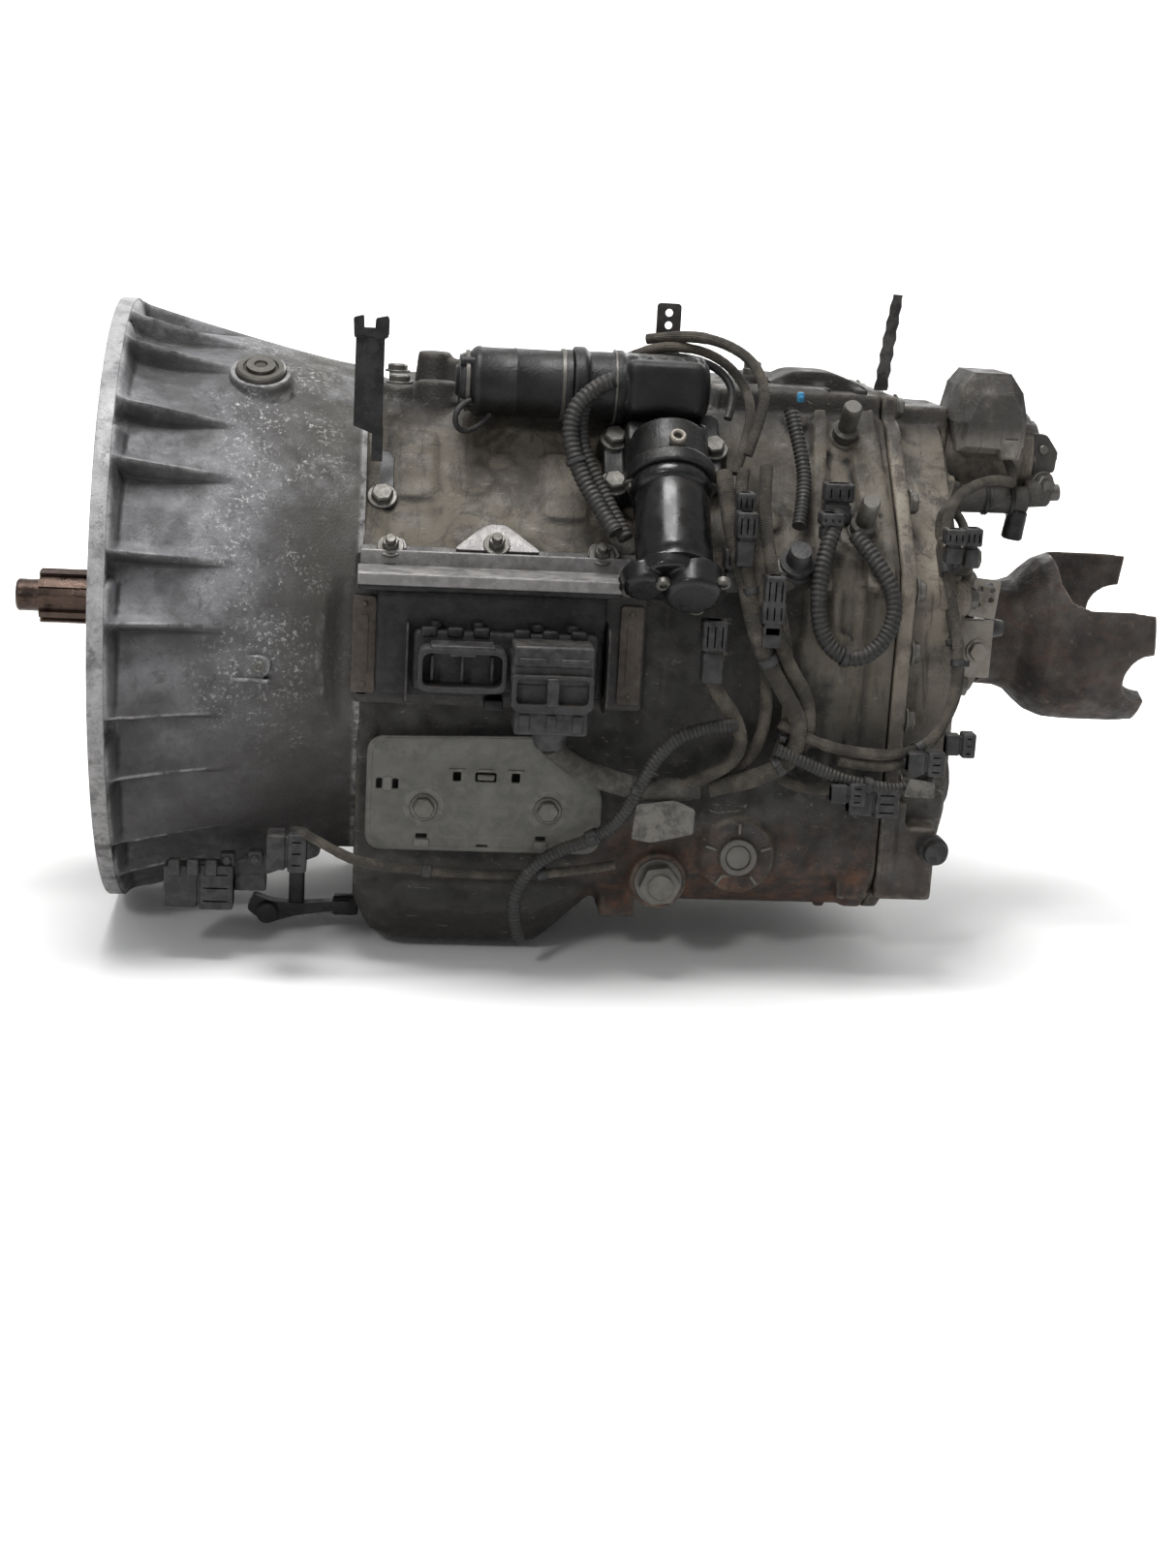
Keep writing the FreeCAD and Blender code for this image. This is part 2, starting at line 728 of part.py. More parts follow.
def countershafts():
    """Each countershaft with its cut teeth, and the four gears pressed on it."""
    for side, (y, z) in COUNTER_CENTRES.items():
        shaft = turned([
            ("case_front + 3", "0"),
            ("case_front + 3", "counter_journal_radius"),
            ("drive_front - 2", "counter_journal_radius"),
            ("drive_front - 2", "counter_body_radius"),
            ("first_front + first_width", "counter_body_radius"),
            ("first_front + first_width", "18.5"),
            ("bulkhead_front - 1", "18.5"),
            ("bulkhead_front - 1", "counter_journal_radius"),
            ("bulkhead_front + 15", "counter_journal_radius"),
            ("bulkhead_front + 15", "0"),
        ], y, z)
        first_teeth = feature(counter_blank(side, TEETH["first"][1], TEETH["first"][0], "first"))
        node(f"{side}_countershaft", fuse(shaft, first_teeth, feature(reverse_pinion(side))))
        centre_y, centre_z = polar(size("centre_distance"), COUNTER_DIRECTIONS[side])
        bore = moved(cylinder(size("counter_gear_bore"), 200, 300), 0, centre_y, centre_z)
        gears = []
        for station in ("drive", "overdrive", "third", "second"):
            main_teeth, counter_teeth = TEETH[station]
            gears.append(feature(counter_blank(side, counter_teeth, main_teeth, station).cut(bore)))
        node(f"{side}_countershaft_gears", group(*gears))


def main_section():
    """Mainshaft with its floating gears and thrust washers."""
    body = turned([
        ("drive_front - 3", "0"),
        ("drive_front - 3", "14"),
        ("drive_front + 17", "14"),
        ("drive_front + 17", "spline_root"),
        ("bulkhead_front - 4", "spline_root"),
        ("bulkhead_front - 4", "main_journal_radius"),
        ("bulkhead_back - 2", "main_journal_radius"),
        ("bulkhead_back - 2", "26"),
        ("aux_drive_front + 18", "26"),
        ("aux_drive_front + 18", "14"),
        ("aux_drive_front + 4", "14"),
        ("aux_drive_front + 4", "0"),
    ])
    spline = feature(shaft_spline(size("drive_front") + 17, size("bulkhead_front") - 4))
    node("mainshaft", fuse(body, spline))
    main_gear("overdrive_gear", TEETH["overdrive"][0], "overdrive", "front")
    main_gear("third_gear", TEETH["third"][0], "third", "rear")
    main_gear("second_gear", TEETH["second"][0], "second", "front")
    main_gear("first_gear", TEETH["first"][0], "first", "rear")
    main_gear("reverse_gear", TEETH["reverse"][0], "reverse", "front")
    washers = []
    for x in ("overdrive_front + overdrive_width", "second_front + second_width", "reverse_front + reverse_width"):
        disc = rod("X", "32", "2", f"{x} + 0.5", 0, 0)
        hole = rod("X", "spline_tip + 0.05", "4", f"{x} - 0.5", 0, 0)
        washers.append(cut(disc, hole))
    node("thrust_washers", group(*washers))


def sliding_clutch(label, centre):
    """Dog clutch that slides on a splined shaft, with a groove for its fork."""
    length = size("clutch_length")
    gap = size("bearing_gap")
    shape = comb(int(size("dog_count")), size("dog_root"), size("dog_tip"), 0.46, 0.36, length)
    splined = comb(int(size("spline_count")), size("spline_root") + gap, size("spline_tip") + gap, 0.56, 0.56, length)
    shape = shape.cut(splined)
    groove = size("groove_width")
    ring = cylinder(size("dog_tip") + 2, (length - groove) / 2, groove)
    ring = ring.cut(cylinder(size("groove_radius"), 0, length))
    return node(label, feature(moved(shape.cut(ring), size(centre) - length / 2)))


def reverse_idlers():
    """Idler gears between each countershaft and the reverse gear, and their axles."""
    axles = []
    front = size("reverse_front")
    width = size("reverse_width")
    for side in COUNTER_DIRECTIONS:
        direction, phase, centre = idler_layout(side)
        shape = moved(spur_blank(IDLER_TEETH, width, phase), front, *centre)
        shape = shape.cut(moved(cylinder(12.3, front - 1, width + 2), 0, *centre))
        node(f"{side}_reverse_idler", feature(shape))
        axle = rod("X", "12 - 0.02", "60", "reverse_front - 4", *centre)
        head = rod("X", "17", "4", "reverse_front - 5", *centre)
        axles.append(fuse(axle, head))
    return node("idler_axles", group(*axles))


# ---------------------------------------------------------------- shift mechanism

def fork(centre, rail_y, rail_z, foot_z):
    """A fork plate that straddles a clutch's groove and hangs from its rail."""
    plate = prism("X", [
        ("-fork_outer", foot_z),
        ("-fork_outer", "22"),
        (f"{rail_y} - 12", "62"),
        (f"{rail_y} - 12", rail_z),
        (f"{rail_y} + 12", rail_z),
        (f"{rail_y} + 12", "62"),
        ("fork_outer", "22"),
        ("fork_outer", foot_z),
    ], f"{centre} - fork_thickness / 2", "fork_thickness")
    throat = rod("X", "fork_inner", "20", f"{centre} - 10", 0, 0)
    slot = box(f"{centre} - 10", "-fork_inner", "-60", "20", "2 * fork_inner", "60")
    hub = rod("X", "14", "22", f"{centre} - 11", rail_y, rail_z)
    return fuse(cut(plate, throat, slot), hub)


def shift_rails():
    """Three rails, each with its fork and its notched shift block."""
    layout = {"front": "rail_spacing", "middle": "0", "rear": "-rail_spacing"}
    for name, y in layout.items():
        bar = rod("X", "rail_radius", "rail_length", "rail_front", y, "rail_height")
        arm = fork(f"{name}_clutch_centre", y, "rail_height", "-5")
        block = box("gate_station - 13", f"{y} - 9", "rail_height", "26", "18", "24")
        notch = box("gate_station - 6.5", f"{y} - 12", "rail_height + 10", "13", "24", "24")
        node(f"{name}_shift_rail", cut(fuse(bar, arm, block), notch))


def shift_gate():
    """The carriage that crosses from rail to rail, and the finger that it guides."""
    top = box("gate_station - 20.5", "-18", "case_top + 9", "41", "36", "8")
    near_side = box("gate_station - 20.5", "-18", "case_top - 0.5", "41", "5.5", "10")
    far_side = box("gate_station - 20.5", "12.5", "case_top - 0.5", "41", "5.5", "10")
    node("select_carriage", fuse(top, near_side, far_side))
    head = box("gate_station - 15", "-12", "case_top - 0.5", "30", "24", "9")
    stem = box("gate_station - 6", "-6", "rail_height + 12", "12", "12", "28")
    node("shift_finger", fuse(head, stem))


# ---------------------------------------------------------------- range section

def range_section():
    """Two-speed range section: drive gear, countershafts, low gear, clutch and output shaft."""
    front = size("aux_drive_front")
    width = size("aux_drive_width")
    gear = moved(spur_blank(TEETH["aux_drive"][0], width, MAIN_PHASE), front)
    gear = gear.cut(cylinder(26.05, front - 1, width + 2))
    gear = gear.cut(moved(dog_recess(), front + width - size("dog_depth")))
    node("aux_drive_gear", feature(gear))
    main_gear("range_low_gear", TEETH["aux_low"][0], "aux_low", "front")
    for side, (y, z) in COUNTER_CENTRES.items():
        shaft = turned([
            ("bulkhead_back - 15", "0"),
            ("bulkhead_back - 15", "counter_journal_radius"),
            ("bulkhead_back + 3", "counter_journal_radius"),
            ("bulkhead_back + 3", "counter_body_radius"),
            ("housing_wall_front - 3", "counter_body_radius"),
            ("housing_wall_front - 3", "counter_journal_radius"),
            ("housing_wall_front + 16", "counter_journal_radius"),
            ("housing_wall_front + 16", "0"),
        ], y, z)
        big = counter_blank(side, TEETH["aux_drive"][1], TEETH["aux_drive"][0], "aux_drive")
        small = counter_blank(side, TEETH["aux_low"][1], TEETH["aux_low"][0], "aux_low")
        node(f"{side}_aux_countershaft", fuse(shaft, feature(big), feature(small)))
    sliding_clutch("range_clutch", "range_clutch_centre")
    bar = rod("X", "range_bar_radius", "228", "range_clutch_centre - 16", 0, "range_bar_height")
    piston = rod("X", "27", "8", "range_clutch_centre + 204", 0, "range_bar_height")
    arm = fork("range_clutch_centre", "0", "range_bar_height", "-5")
    node("range_shift_bar", fuse(bar, piston, arm))


def output_line():
    """Output shaft, half-round end yoke and the nut that holds it."""
    spline_start = size("aux_drive_front") + 22
    spline_end = size("aux_low_front") - 0.5 + size("aux_low_width") + 1
    body = turned([
        ("aux_drive_front + 6", "0"),
        ("aux_drive_front + 6", "13.6"),
        ("aux_drive_front + 22", "13.6"),
        ("aux_drive_front + 22", "spline_root"),
        ("aux_low_front + aux_low_width + 0.5", "spline_root"),
        ("aux_low_front + aux_low_width + 0.5", "output_journal_radius"),
        ("yoke_front - 2", "output_journal_radius"),
        ("yoke_front - 2", "24"),
        ("output_end - 14", "24"),
        ("output_end - 14", "18"),
        ("output_end + 12", "18"),
        ("output_end + 12", "0"),
    ])
    spline = feature(shaft_spline(spline_start, spline_end))
    node("output_shaft", fuse(body, spline))
    blank = turned([
        ("yoke_front", "24.05"),
        ("yoke_front", "yoke_barrel_radius"),
        ("yoke_head_front - 38", "yoke_barrel_radius + 1"),
        ("yoke_head_front - 20", "yoke_barrel_radius + 8"),
        ("yoke_head_front", "yoke_head_radius - 12"),
        ("yoke_ears_front - 6", "yoke_head_radius"),
        ("yoke_end", "yoke_head_radius - 2"),
        ("yoke_end", "52"),
        ("output_end + 4", "40"),
        ("output_end - 14", "40"),
        ("output_end - 14", "24.05"),
    ])
    hub = cut(blank, box("yoke_ears_front", "-100", "-100", "120", "200", "200"))
    front = box("yoke_front - 1", "-100", "-100", "yoke_ears_front - yoke_front + 1", "200", "200")
    gap = box("yoke_front", "-yoke_ear_inside", "-100", "200", "2 * yoke_ear_inside", "200")
    seat = rod("Y", "seat_radius", "200", "seat_station", "-100", "0")
    holes = []
    for z in ("-strap_bolt_height", "strap_bolt_height"):
        for y in ("-strap_bolt_side", "strap_bolt_side"):
            length = "strap_bolt_depth + 2"
            holes.append(rod("X", "strap_bolt_radius", length, "yoke_end - strap_bolt_depth", y, z))
    ears = cut(blank, front, gap, seat, *holes)
    tilted = doc.addObject("Part::Compound", "tilted_yoke")
    tilted.Links = [hub, ears]
    tilted.Placement.Rotation = FreeCAD.Rotation(FreeCAD.Vector(1, 0, 0), size("seat_tilt"))
    node("output_yoke", tilted)
    nut = hexagon("X", "33", "16", "output_end - 13.5", 0, 0)
    thread = rod("X", "18.05", "30", "output_end - 20", 0, 0)
    node("yoke_nut", cut(nut, thread))


# ---------------------------------------------------------------- clutch release

def clutch_release():
    """Cross shaft in the clutch housing and the fork that straddles the quill."""
    shaft = rod("Y", "release_shaft_radius", "467", "release_station", "-207", "release_height")
    lever = box("release_station - 9", "246", "release_height - 9", "18", "12", "60")
    node("release_shaft", fuse(shaft, lever))
    hub = rod("Y", "22", "100", "release_station", "-50", "release_height")
    arms = [box("release_station - 10", y, "release_height", "20", "12", "88") for y in ("-48", "36")]
    bore = rod("Y", "release_shaft_radius + 0.05", "120", "release_station", "-60", "release_height")
    node("release_fork", cut(fuse(hub, *arms), bore))


# ---------------------------------------------------------------- outside equipment

def on_shoulder(item, along, up_slope, height):
    """Place an object on the 45 degree shoulder, its own Z standing out from it."""
    item.Placement.Rotation = FreeCAD.Rotation(FreeCAD.Vector(1, 0, 0), 45)
    return place(item, along, f"0.70711 * ({up_slope} - shoulder - {height})",
                 f"0.70711 * ({up_slope} + shoulder + {height})")


def shoulder_box(x, up_slope, height, length, width, thickness):
    """A block lying on the shoulder."""
    item = box(0, 0, 0, length, width, thickness)
    return on_shoulder(item, x, up_slope, height)


def shoulder_rod(radius, length, x, up_slope, height):
    """A cylinder standing on the shoulder."""
    item = rod("Z", radius, length, 0, 0, 0)
    return on_shoulder(item, x, up_slope, height)


def slope_rod(radius, length, x, start, height):
    """A cylinder lying down the slope of the shoulder."""
    item = rod("slope", radius, length, 0, 0, 0)
    side = f"-0.70711 * (shoulder + {height} + {start})"
    rise = f"0.70711 * (shoulder + {height} - {start})"
    return place(item, x, side, rise)


def actuator():
    """Electric shifter: gearbox on the shoulder, a select motor along X and a shift motor down the slope."""
    block = box("410", "-180", "198", "110", "76", "56")
    neck = slope_rod("35", "50", "shift_motor_station", "-12", "shift_motor_height")
    saddle = shoulder_box("430", "-18", "0.05", "104", "86", "22")
    arm = box("414", "-108", "case_top + 21", "102", "78", "12")
    arm_foot = box("414", "-44", "case_top + 12.05", "102", "14", "12")
    flange = slope_rod("40", "12", "shift_motor_station", "26", "shift_motor_height")
    side_flange = rod("X", "34", "12", "400", "rail_motor_side", "rail_motor_height")
    node("actuator_housing", fuse(block, neck, saddle, arm, arm_foot, flange, side_flange))
    body = rod("X", "rail_motor_radius", "86", "313", "rail_motor_side", "rail_motor_height")
    end_cap = rod("X", "rail_motor_radius - 5", "14", "300", "rail_motor_side", "rail_motor_height")
    node("rail_motor", fuse(body, end_cap))
    can = slope_rod("shift_motor_radius", "92", "shift_motor_station", "38.5", "shift_motor_height")
    lobe = slope_rod("20", "26", "shift_motor_station - 24", "130", "shift_motor_height")
    far_lobe = slope_rod("26", "34", "shift_motor_station + 14", "130", "shift_motor_height")
    node("select_motor", fuse(can, lobe, far_lobe))


def controller_unit(drilled):
    """Controller on its sheet bracket, its open socket and the plug in the other one."""
    back_plate = box("217", "-222", "-44", "252", "4", "132")
    top_lip = shoulder_box("222", "-98", "4", "244", "22", "4")
    node("controller_bracket", fuse(back_plate, box("222", "-224", "80", "244", "8", "12"), top_lip))
    lid = box("220", "-268", "62", "222", "46", "12")
    body = box("236", "-262", "-30", "196", "40", "93")
    socket_shell = box("273", "-292", "-17", "72", "34", "36")
    socket_room = box("277", "-293", "-13", "64", "27", "28")
    node("controller", cut(fuse(lid, body, socket_shell), socket_room))
    shell = box("348", "-306", "-26", "72", "43.5", "46")
    boot = box("352", "-300", "-58", "64", "36", "34")
    node("controller_plug", fuse(shell, boot))
    shield = prism("Y", [
        ("233", "-171"),
        ("233", "-70"),
        ("386", "-66"),
        ("438", "-110"),
        ("438", "-171"),
    ], "-232", "4")
    standoffs = [rod("Y", "8", "13.1", x, "-228.1", "-132") for x in ("283", "391")]
    node("side_shield", cut(fuse(shield, *standoffs), *drilled))


def brackets():
    """Sheet brackets: the strap on the left, the slotted strip on top and the strip at the rear."""
    foot = shoulder_box("228", "-46", "0.2", "22", "62", "sheet")
    neck = box("228", "strap_side", "strap_foot", "10", "sheet", "strap_shoulder - strap_foot + 1")
    height = "strap_top - strap_shoulder"
    upright = box("strap_left", "strap_side", "strap_shoulder", "strap_width", "sheet", height)
    clamp = box("strap_left - 2", "strap_side - 8", "strap_top - 10", "strap_width + 4", "16", "20")
    node("strap_bracket", fuse(foot, neck, upright, clamp))
    strip = box("480", "-72", "case_top + 33.05", "22", "3", "62")
    holes = [rod("Y", "3.4", "10", "491", "-76", z) for z in ("280", "291")]
    twisted = box("691", "-38", "case_top + 23.1", "12", "3", "40")
    tip = box("698", "-38", "case_top + 58", "14", "3", "54")
    tip_holes = [rod("Y", "2.6", "10", "705", "-42", z) for z in ("284", "296", "308")]
    node("perforated_brackets", group(cut(strip, *holes), cut(fuse(twisted, tip), *tip_holes)))


def range_parts():
    """Range shift cylinder behind the rear housing and the air valve on it."""
    barrel = rod("X", "40", "86", "housing_back", 0, "range_bar_height")
    room = rod("X", "28", "64", "housing_back + 8", 0, "range_bar_height")
    bar_bore = rod("X", "range_bar_radius + 0.3", "20", "housing_back - 2", 0, "range_bar_height")
    end_cap = rod("X", "33", "8", "housing_back + 86", 0, "range_bar_height")
    node("range_cylinder", cut(fuse(barrel, end_cap), room, bar_bore))
    body = prism("X", [
        ("-66", "176"),
        ("-66", "228"),
        ("-48", "250"),
        ("-4", "250"),
        ("14", "228"),
        ("14", "219"),
        ("-41", "178"),
    ], "784", "58")
    outlet = cone("Z", "9", "13", "18", "820", "-54", "160")
    node("range_valve", cut(fuse(body, outlet), rod("X", "40.3", "100", "780", 0, "range_bar_height")))


def studs_and_sensors():
    """Mounting studs on the shoulder, threaded plugs and speed sensors."""
    studs = []
    for x, up_slope in ((650, 54.4), (657, -50.2)):
        collar = shoulder_rod("13", "6", str(x), str(up_slope), "0")
        pin = shoulder_rod("8.5", "48", str(x), str(up_slope), "0")
        studs.append(fuse(collar, pin))
    node("mounting_studs", group(*studs))
    drain = hexagon("Y", "19", "20", "492", "-252", "-194")
    boss_plug = hexagon("Y", "11", "7", "563", "-231", "-172")
    bell_plug = fuse(inspection_step("22", "252.1", "7"), inspection_step("14", "252.1", "11"))
    node("threaded_plugs", group(drain, boss_plug, bell_plug))
    input_barrel = shoulder_rod("11", "30", "596", "-92", "0")
    input_sensor = fuse(input_barrel, shoulder_rod("16", "8", "596", "-92", "0"))
    output_sensor = fuse(rod("X", "14", "40", "762", "-150", "30"), rod("X", "18", "10", "762", "-150", "30"))
    low_sensor = rod("Y", "13", "24", "738", "-238", "-160")
    node("speed_sensors", group(input_sensor, output_sensor, low_sensor))


# ---------------------------------------------------------------- harness

def tube(points, radius):
    """A captive lead: straight runs joined by tangent arcs, as large as its runs allow."""
    corners = [FreeCAD.Vector(*point) for point in points]
    edges = []
    start = corners[0]
    for before, here, after in zip(corners, corners[1:], corners[2:]):
        inward = (here - before).normalize()
        outward = (after - here).normalize()
        turn = inward.getAngle(outward)
        shorter = min((here - before).Length, (after - here).Length)
        trim = 0.45 * shorter
        first = here - inward * trim
        last = here + outward * trim
        bend_radius = trim / math.tan(turn / 2)
        centre_line = (outward - inward).normalize()
        centre = here + centre_line * (bend_radius / math.cos(turn / 2))
        middle = centre - centre_line * bend_radius
        BENDS.append(bend_radius)
        edges.append(Part.LineSegment(start, first).toShape())
        edges.append(Part.Arc(first, middle, last).toShape())
        start = last
    edges.append(Part.LineSegment(start, corners[-1]).toShape())
    spine = Part.Wire(edges)
    ring = Part.makeCircle(radius, corners[0], corners[1] - corners[0])
    shape = spine.makePipeShell([Part.Wire([ring])], True, False)
    expected = math.pi * radius ** 2 * spine.Length
    print(f"lead: length {spine.Length:.0f} mm, volume ratio {shape.Volume / expected:.4f}")
    return shape


BENDS = []

# Each lead: radius and the points of its route.
LEADS = {
    "shifter_loop": (7.5, [
        (428, -190, 236), (404, -194, 224), (394, -198, 196), (402, -206, 166), (418, -218, 138), (436, -238, 114),
    ]),
    "top_lead": (5, [
        (470, -92, 268), (500, -108, 274), (530, -136, 272), (556, -158, 258), (566, -176, 234),
        (560, -188, 206), (550, -196, 180),
    ]),
    "trunk_front": (6, [
        (547, -202, 168), (541, -222, 134), (546, -248, 92), (562, -246, 44), (574, -240, -6),
        (576, -238, -52), (560, -240, -86), (530, -240, -103),
    ]),
    "trunk_back": (6, [
        (566, -206, 172), (562, -226, 136), (570, -240, 90), (584, -240, 42), (594, -238, -8),
        (596, -236, -56), (584, -234, -88), (610, -233, -106), (650, -234, -104),
    ]),
    "sensor_lead": (6.5, [
        (594, -146, 216), (603, -164, 182), (606, -182, 150), (598, -206, 122),
    ]),
    "big_loop": (7.5, [
        (632, -206, 134), (618, -228, 104), (612, -236, 62), (622, -238, 24), (650, -238, 10),
        (676, -236, 28), (684, -234, 62), (668, -228, 94), (646, -212, 118),
    ]),
    "plug_lead": (10, [
        (520, -246, -104), (478, -248, -108), (438, -252, -98), (404, -262, -82), (386, -280, -62),
    ]),
    "under_lead": (6, [
        (548, -256, -44), (512, -256, -48), (484, -258, -68), (468, -258, -98), (454, -254, -132),
        (426, -248, -154), (394, -246, -166), (370, -246, -188), (362, -240, -220), (372, -226, -250),
    ]),
    "air_tube": (4.5, [
        (182, -262, -150), (202, -256, -164), (232, -248, -180), (286, -240, -187), (346, -238, -190),
        (400, -236, -188), (452, -236, -178),
    ]),
    "rear_lead": (5, [
        (822, -64, 152), (804, -86, 158), (776, -108, 154), (748, -138, 142), (734, -174, 110),
        (738, -206, 66), (746, -222, 18), (742, -228, -30), (722, -236, -66), (684, -246, -84), (640, -252, -74),
    ]),
}


# Each connector's housing: low corner and size.
CONNECTORS = [
    ("536", "-256", "92", "18", "20", "46"),
    ("562", "-262", "24", "20", "18", "40"),
    ("652", "-256", "-124", "44", "20", "26"),
    ("614", "-222", "112", "20", "20", "24"),
    ("60", "-214", "-236", "60", "26", "40"),
    ("150", "-262", "-186", "34", "30", "34"),
]


def harness():
    """Leads clipped along the case, their connectors and their clips."""
    node("harness_cables", group(*[feature(tube(points, radius)) for radius, points in LEADS.values()]))
    node("harness_connectors", group(*[box(*block) for block in CONNECTORS]))


# ---------------------------------------------------------------- fasteners

def circle_points(count, radius, first_angle):
    """Even places round the shaft line, as (y, z) text."""
    places = []
    for step in range(count):
        angle = math.radians(first_angle + 360 * step / count)
        places.append((f"{radius} * {math.cos(angle):.6f}", f"{radius} * {math.sin(angle):.6f}"))
    return places


def bolt(axis, sign, x, y, z):
    """A hexagon head bolt whose head stands on the point and whose shank goes into the part."""
    head_start = {key: value for key, value in zip("XYZ", (x, y, z))}
    shank_start = dict(head_start)
    if sign > 0:
        shank_start[axis] = f"{head_start[axis]} - bolt_grip"
    else:
        head_start[axis] = f"{head_start[axis]} - bolt_head_height"
    head = hexagon(axis, "bolt_head_radius", "bolt_head_height", *[head_start[key] for key in "XYZ"])
    shank = rod(axis, "bolt_radius", "bolt_grip", *[shank_start[key] for key in "XYZ"])
    hole_start = dict(shank_start)
    hole_start[axis] = f"{shank_start[axis]} - {0.2 if sign > 0 else 0}"
    hole = rod(axis, "bolt_radius + 0.1", "bolt_grip + 0.2", *[hole_start[key] for key in "XYZ"])
    return fuse(head, shank), hole


# Bolt groups: axis, direction in which the heads face, and each bolt's seat.
BOLTS = {
    "input": ("X", -1, [("case_front - 12", y, z) for y, z in circle_points(6, "62", 30)]),
    "output": ("X", 1, [("housing_back + 14", y, z) for y, z in circle_points(8, "82", 22.5)]),
    "seam": ("X", 1, [("case_back + 14", y, z) for y, z in (
        ("-209", "-104"), ("-209", "-44"), ("-209", "16"), ("-209", "70"), ("-152", "139.3"), ("-64", "216"),
        ("20", "216"), ("104", "216"), ("209", "120"), ("209", "50"), ("209", "-20"), ("209", "-90"),
        ("140", "-226"), ("50", "-226"), ("-40", "-226"), ("-120", "-226"),
    )]),
    "rail_housing": ("Z", 1, [(x, y, "case_top + 12") for x in ("252", "312", "444", "510") for y in ("-69", "69")]),
    "side_pto": ("Y", 1, [(x, "case_side + 11", z) for x in ("305", "355", "405") for z in ("-140", "-30")]),
    "bottom_pto": ("Z", -1, [(x, y, "-(case_floor + 10)") for x in ("512", "570", "628") for y in ("0", "110")]),
    "shield": ("Y", -1, [(x, "-232", "-132") for x in ("283", "391")]),
}


def fasteners():
    """Every hexagon bolt, and the holes to drill for each group."""
    bolts = []
    drilled = {}
    for name, (axis, sign, seats) in BOLTS.items():
        pairs = [bolt(axis, sign, *seat) for seat in seats]
        bolts += [item for item, hole in pairs]
        drilled[name] = [hole for item, hole in pairs]
    node("case_bolts", group(*bolts))
    return drilled


# ---------------------------------------------------------------- assembly

def check(item):
    """Stop if an object failed or a sub-part's shape is empty or broken."""
    if "Invalid" in item.State or "Error" in item.State:
        raise RuntimeError(f"{item.Name} ({item.Label}) failed: {item.State}")


def write_parts():
    """Write each sub-part to its own file."""
    os.makedirs("parts", exist_ok=True)
    for item in NODES:
        if item.Shape.isNull() or not item.Shape.isValid():
            raise RuntimeError(f"{item.Label} has no valid shape")
        item.Shape.exportStep(f"parts/{item.Label}.step")


drilled = fasteners()
clutch_housing()
main_case(drilled["seam"] + drilled["rail_housing"] + drilled["side_pto"] + drilled["bottom_pto"]
          + drilled["input"] + drilled["shield"])
rear_housing(drilled["seam"] + drilled["output"])
shift_rail_housing(drilled["rail_housing"])
covers(drilled)
bearings()
input_line()
countershafts()
main_section()
for clutch in ("front", "middle", "rear"):
    sliding_clutch(f"{clutch}_sliding_clutch", f"{clutch}_clutch_centre")
reverse_idlers()
shift_rails()
shift_gate()
range_section()
output_line()
clutch_release()
actuator()
controller_unit(drilled["shield"])
brackets()
range_parts()
studs_and_sensors()
harness()

doc.recompute()
for item in doc.Objects:
    check(item)
write_parts()
print(f"{len(NODES)} sub-parts; smallest bend radius {min(BENDS):.1f} mm")
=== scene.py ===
import math

import bmesh
import bpy
import numpy as np
from mathutils import Matrix, Vector


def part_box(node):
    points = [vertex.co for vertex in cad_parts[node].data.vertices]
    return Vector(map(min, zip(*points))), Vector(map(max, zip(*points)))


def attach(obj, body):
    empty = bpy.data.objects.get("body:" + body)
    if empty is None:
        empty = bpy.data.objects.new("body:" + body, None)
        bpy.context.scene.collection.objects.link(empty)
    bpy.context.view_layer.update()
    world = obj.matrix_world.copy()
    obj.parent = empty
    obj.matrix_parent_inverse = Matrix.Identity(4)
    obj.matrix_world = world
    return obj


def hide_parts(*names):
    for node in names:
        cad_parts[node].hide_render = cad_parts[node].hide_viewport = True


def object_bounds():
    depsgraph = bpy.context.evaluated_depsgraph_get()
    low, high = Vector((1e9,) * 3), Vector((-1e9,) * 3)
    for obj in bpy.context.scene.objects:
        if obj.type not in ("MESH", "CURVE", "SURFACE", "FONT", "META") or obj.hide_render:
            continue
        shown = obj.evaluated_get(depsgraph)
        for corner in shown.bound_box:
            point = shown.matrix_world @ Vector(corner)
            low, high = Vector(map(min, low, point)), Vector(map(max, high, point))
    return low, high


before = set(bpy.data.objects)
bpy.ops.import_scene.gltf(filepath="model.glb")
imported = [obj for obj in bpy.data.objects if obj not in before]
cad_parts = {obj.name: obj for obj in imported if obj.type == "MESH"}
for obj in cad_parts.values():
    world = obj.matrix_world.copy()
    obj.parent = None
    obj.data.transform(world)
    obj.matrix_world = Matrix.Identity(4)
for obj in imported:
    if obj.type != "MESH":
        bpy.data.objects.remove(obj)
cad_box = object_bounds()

# Looks of the heavy truck transmission. Shapes below are in millimetres in the row frame
# (+X to the output, -Y the controller's side, +Z up) and become metres in finished().
MM = 0.001


def corners(node):
    """A CAD node's lowest and highest corner, in millimetres."""
    low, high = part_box(node)
    return low / MM, high / MM


CASE_LOW, CASE_HIGH = corners("main_case")
HOUSING_HIGH = corners("rear_housing")[1]
CASE_FRONT, CASE_BACK = CASE_LOW.x, CASE_HIGH.x
YOKE_LOW, YOKE_HIGH = corners("output_yoke")
STRAP_LOW = corners("strap_bracket")[0]
CASE_SIDE_Y = -215
SHOULDER_DISTANCE = 212

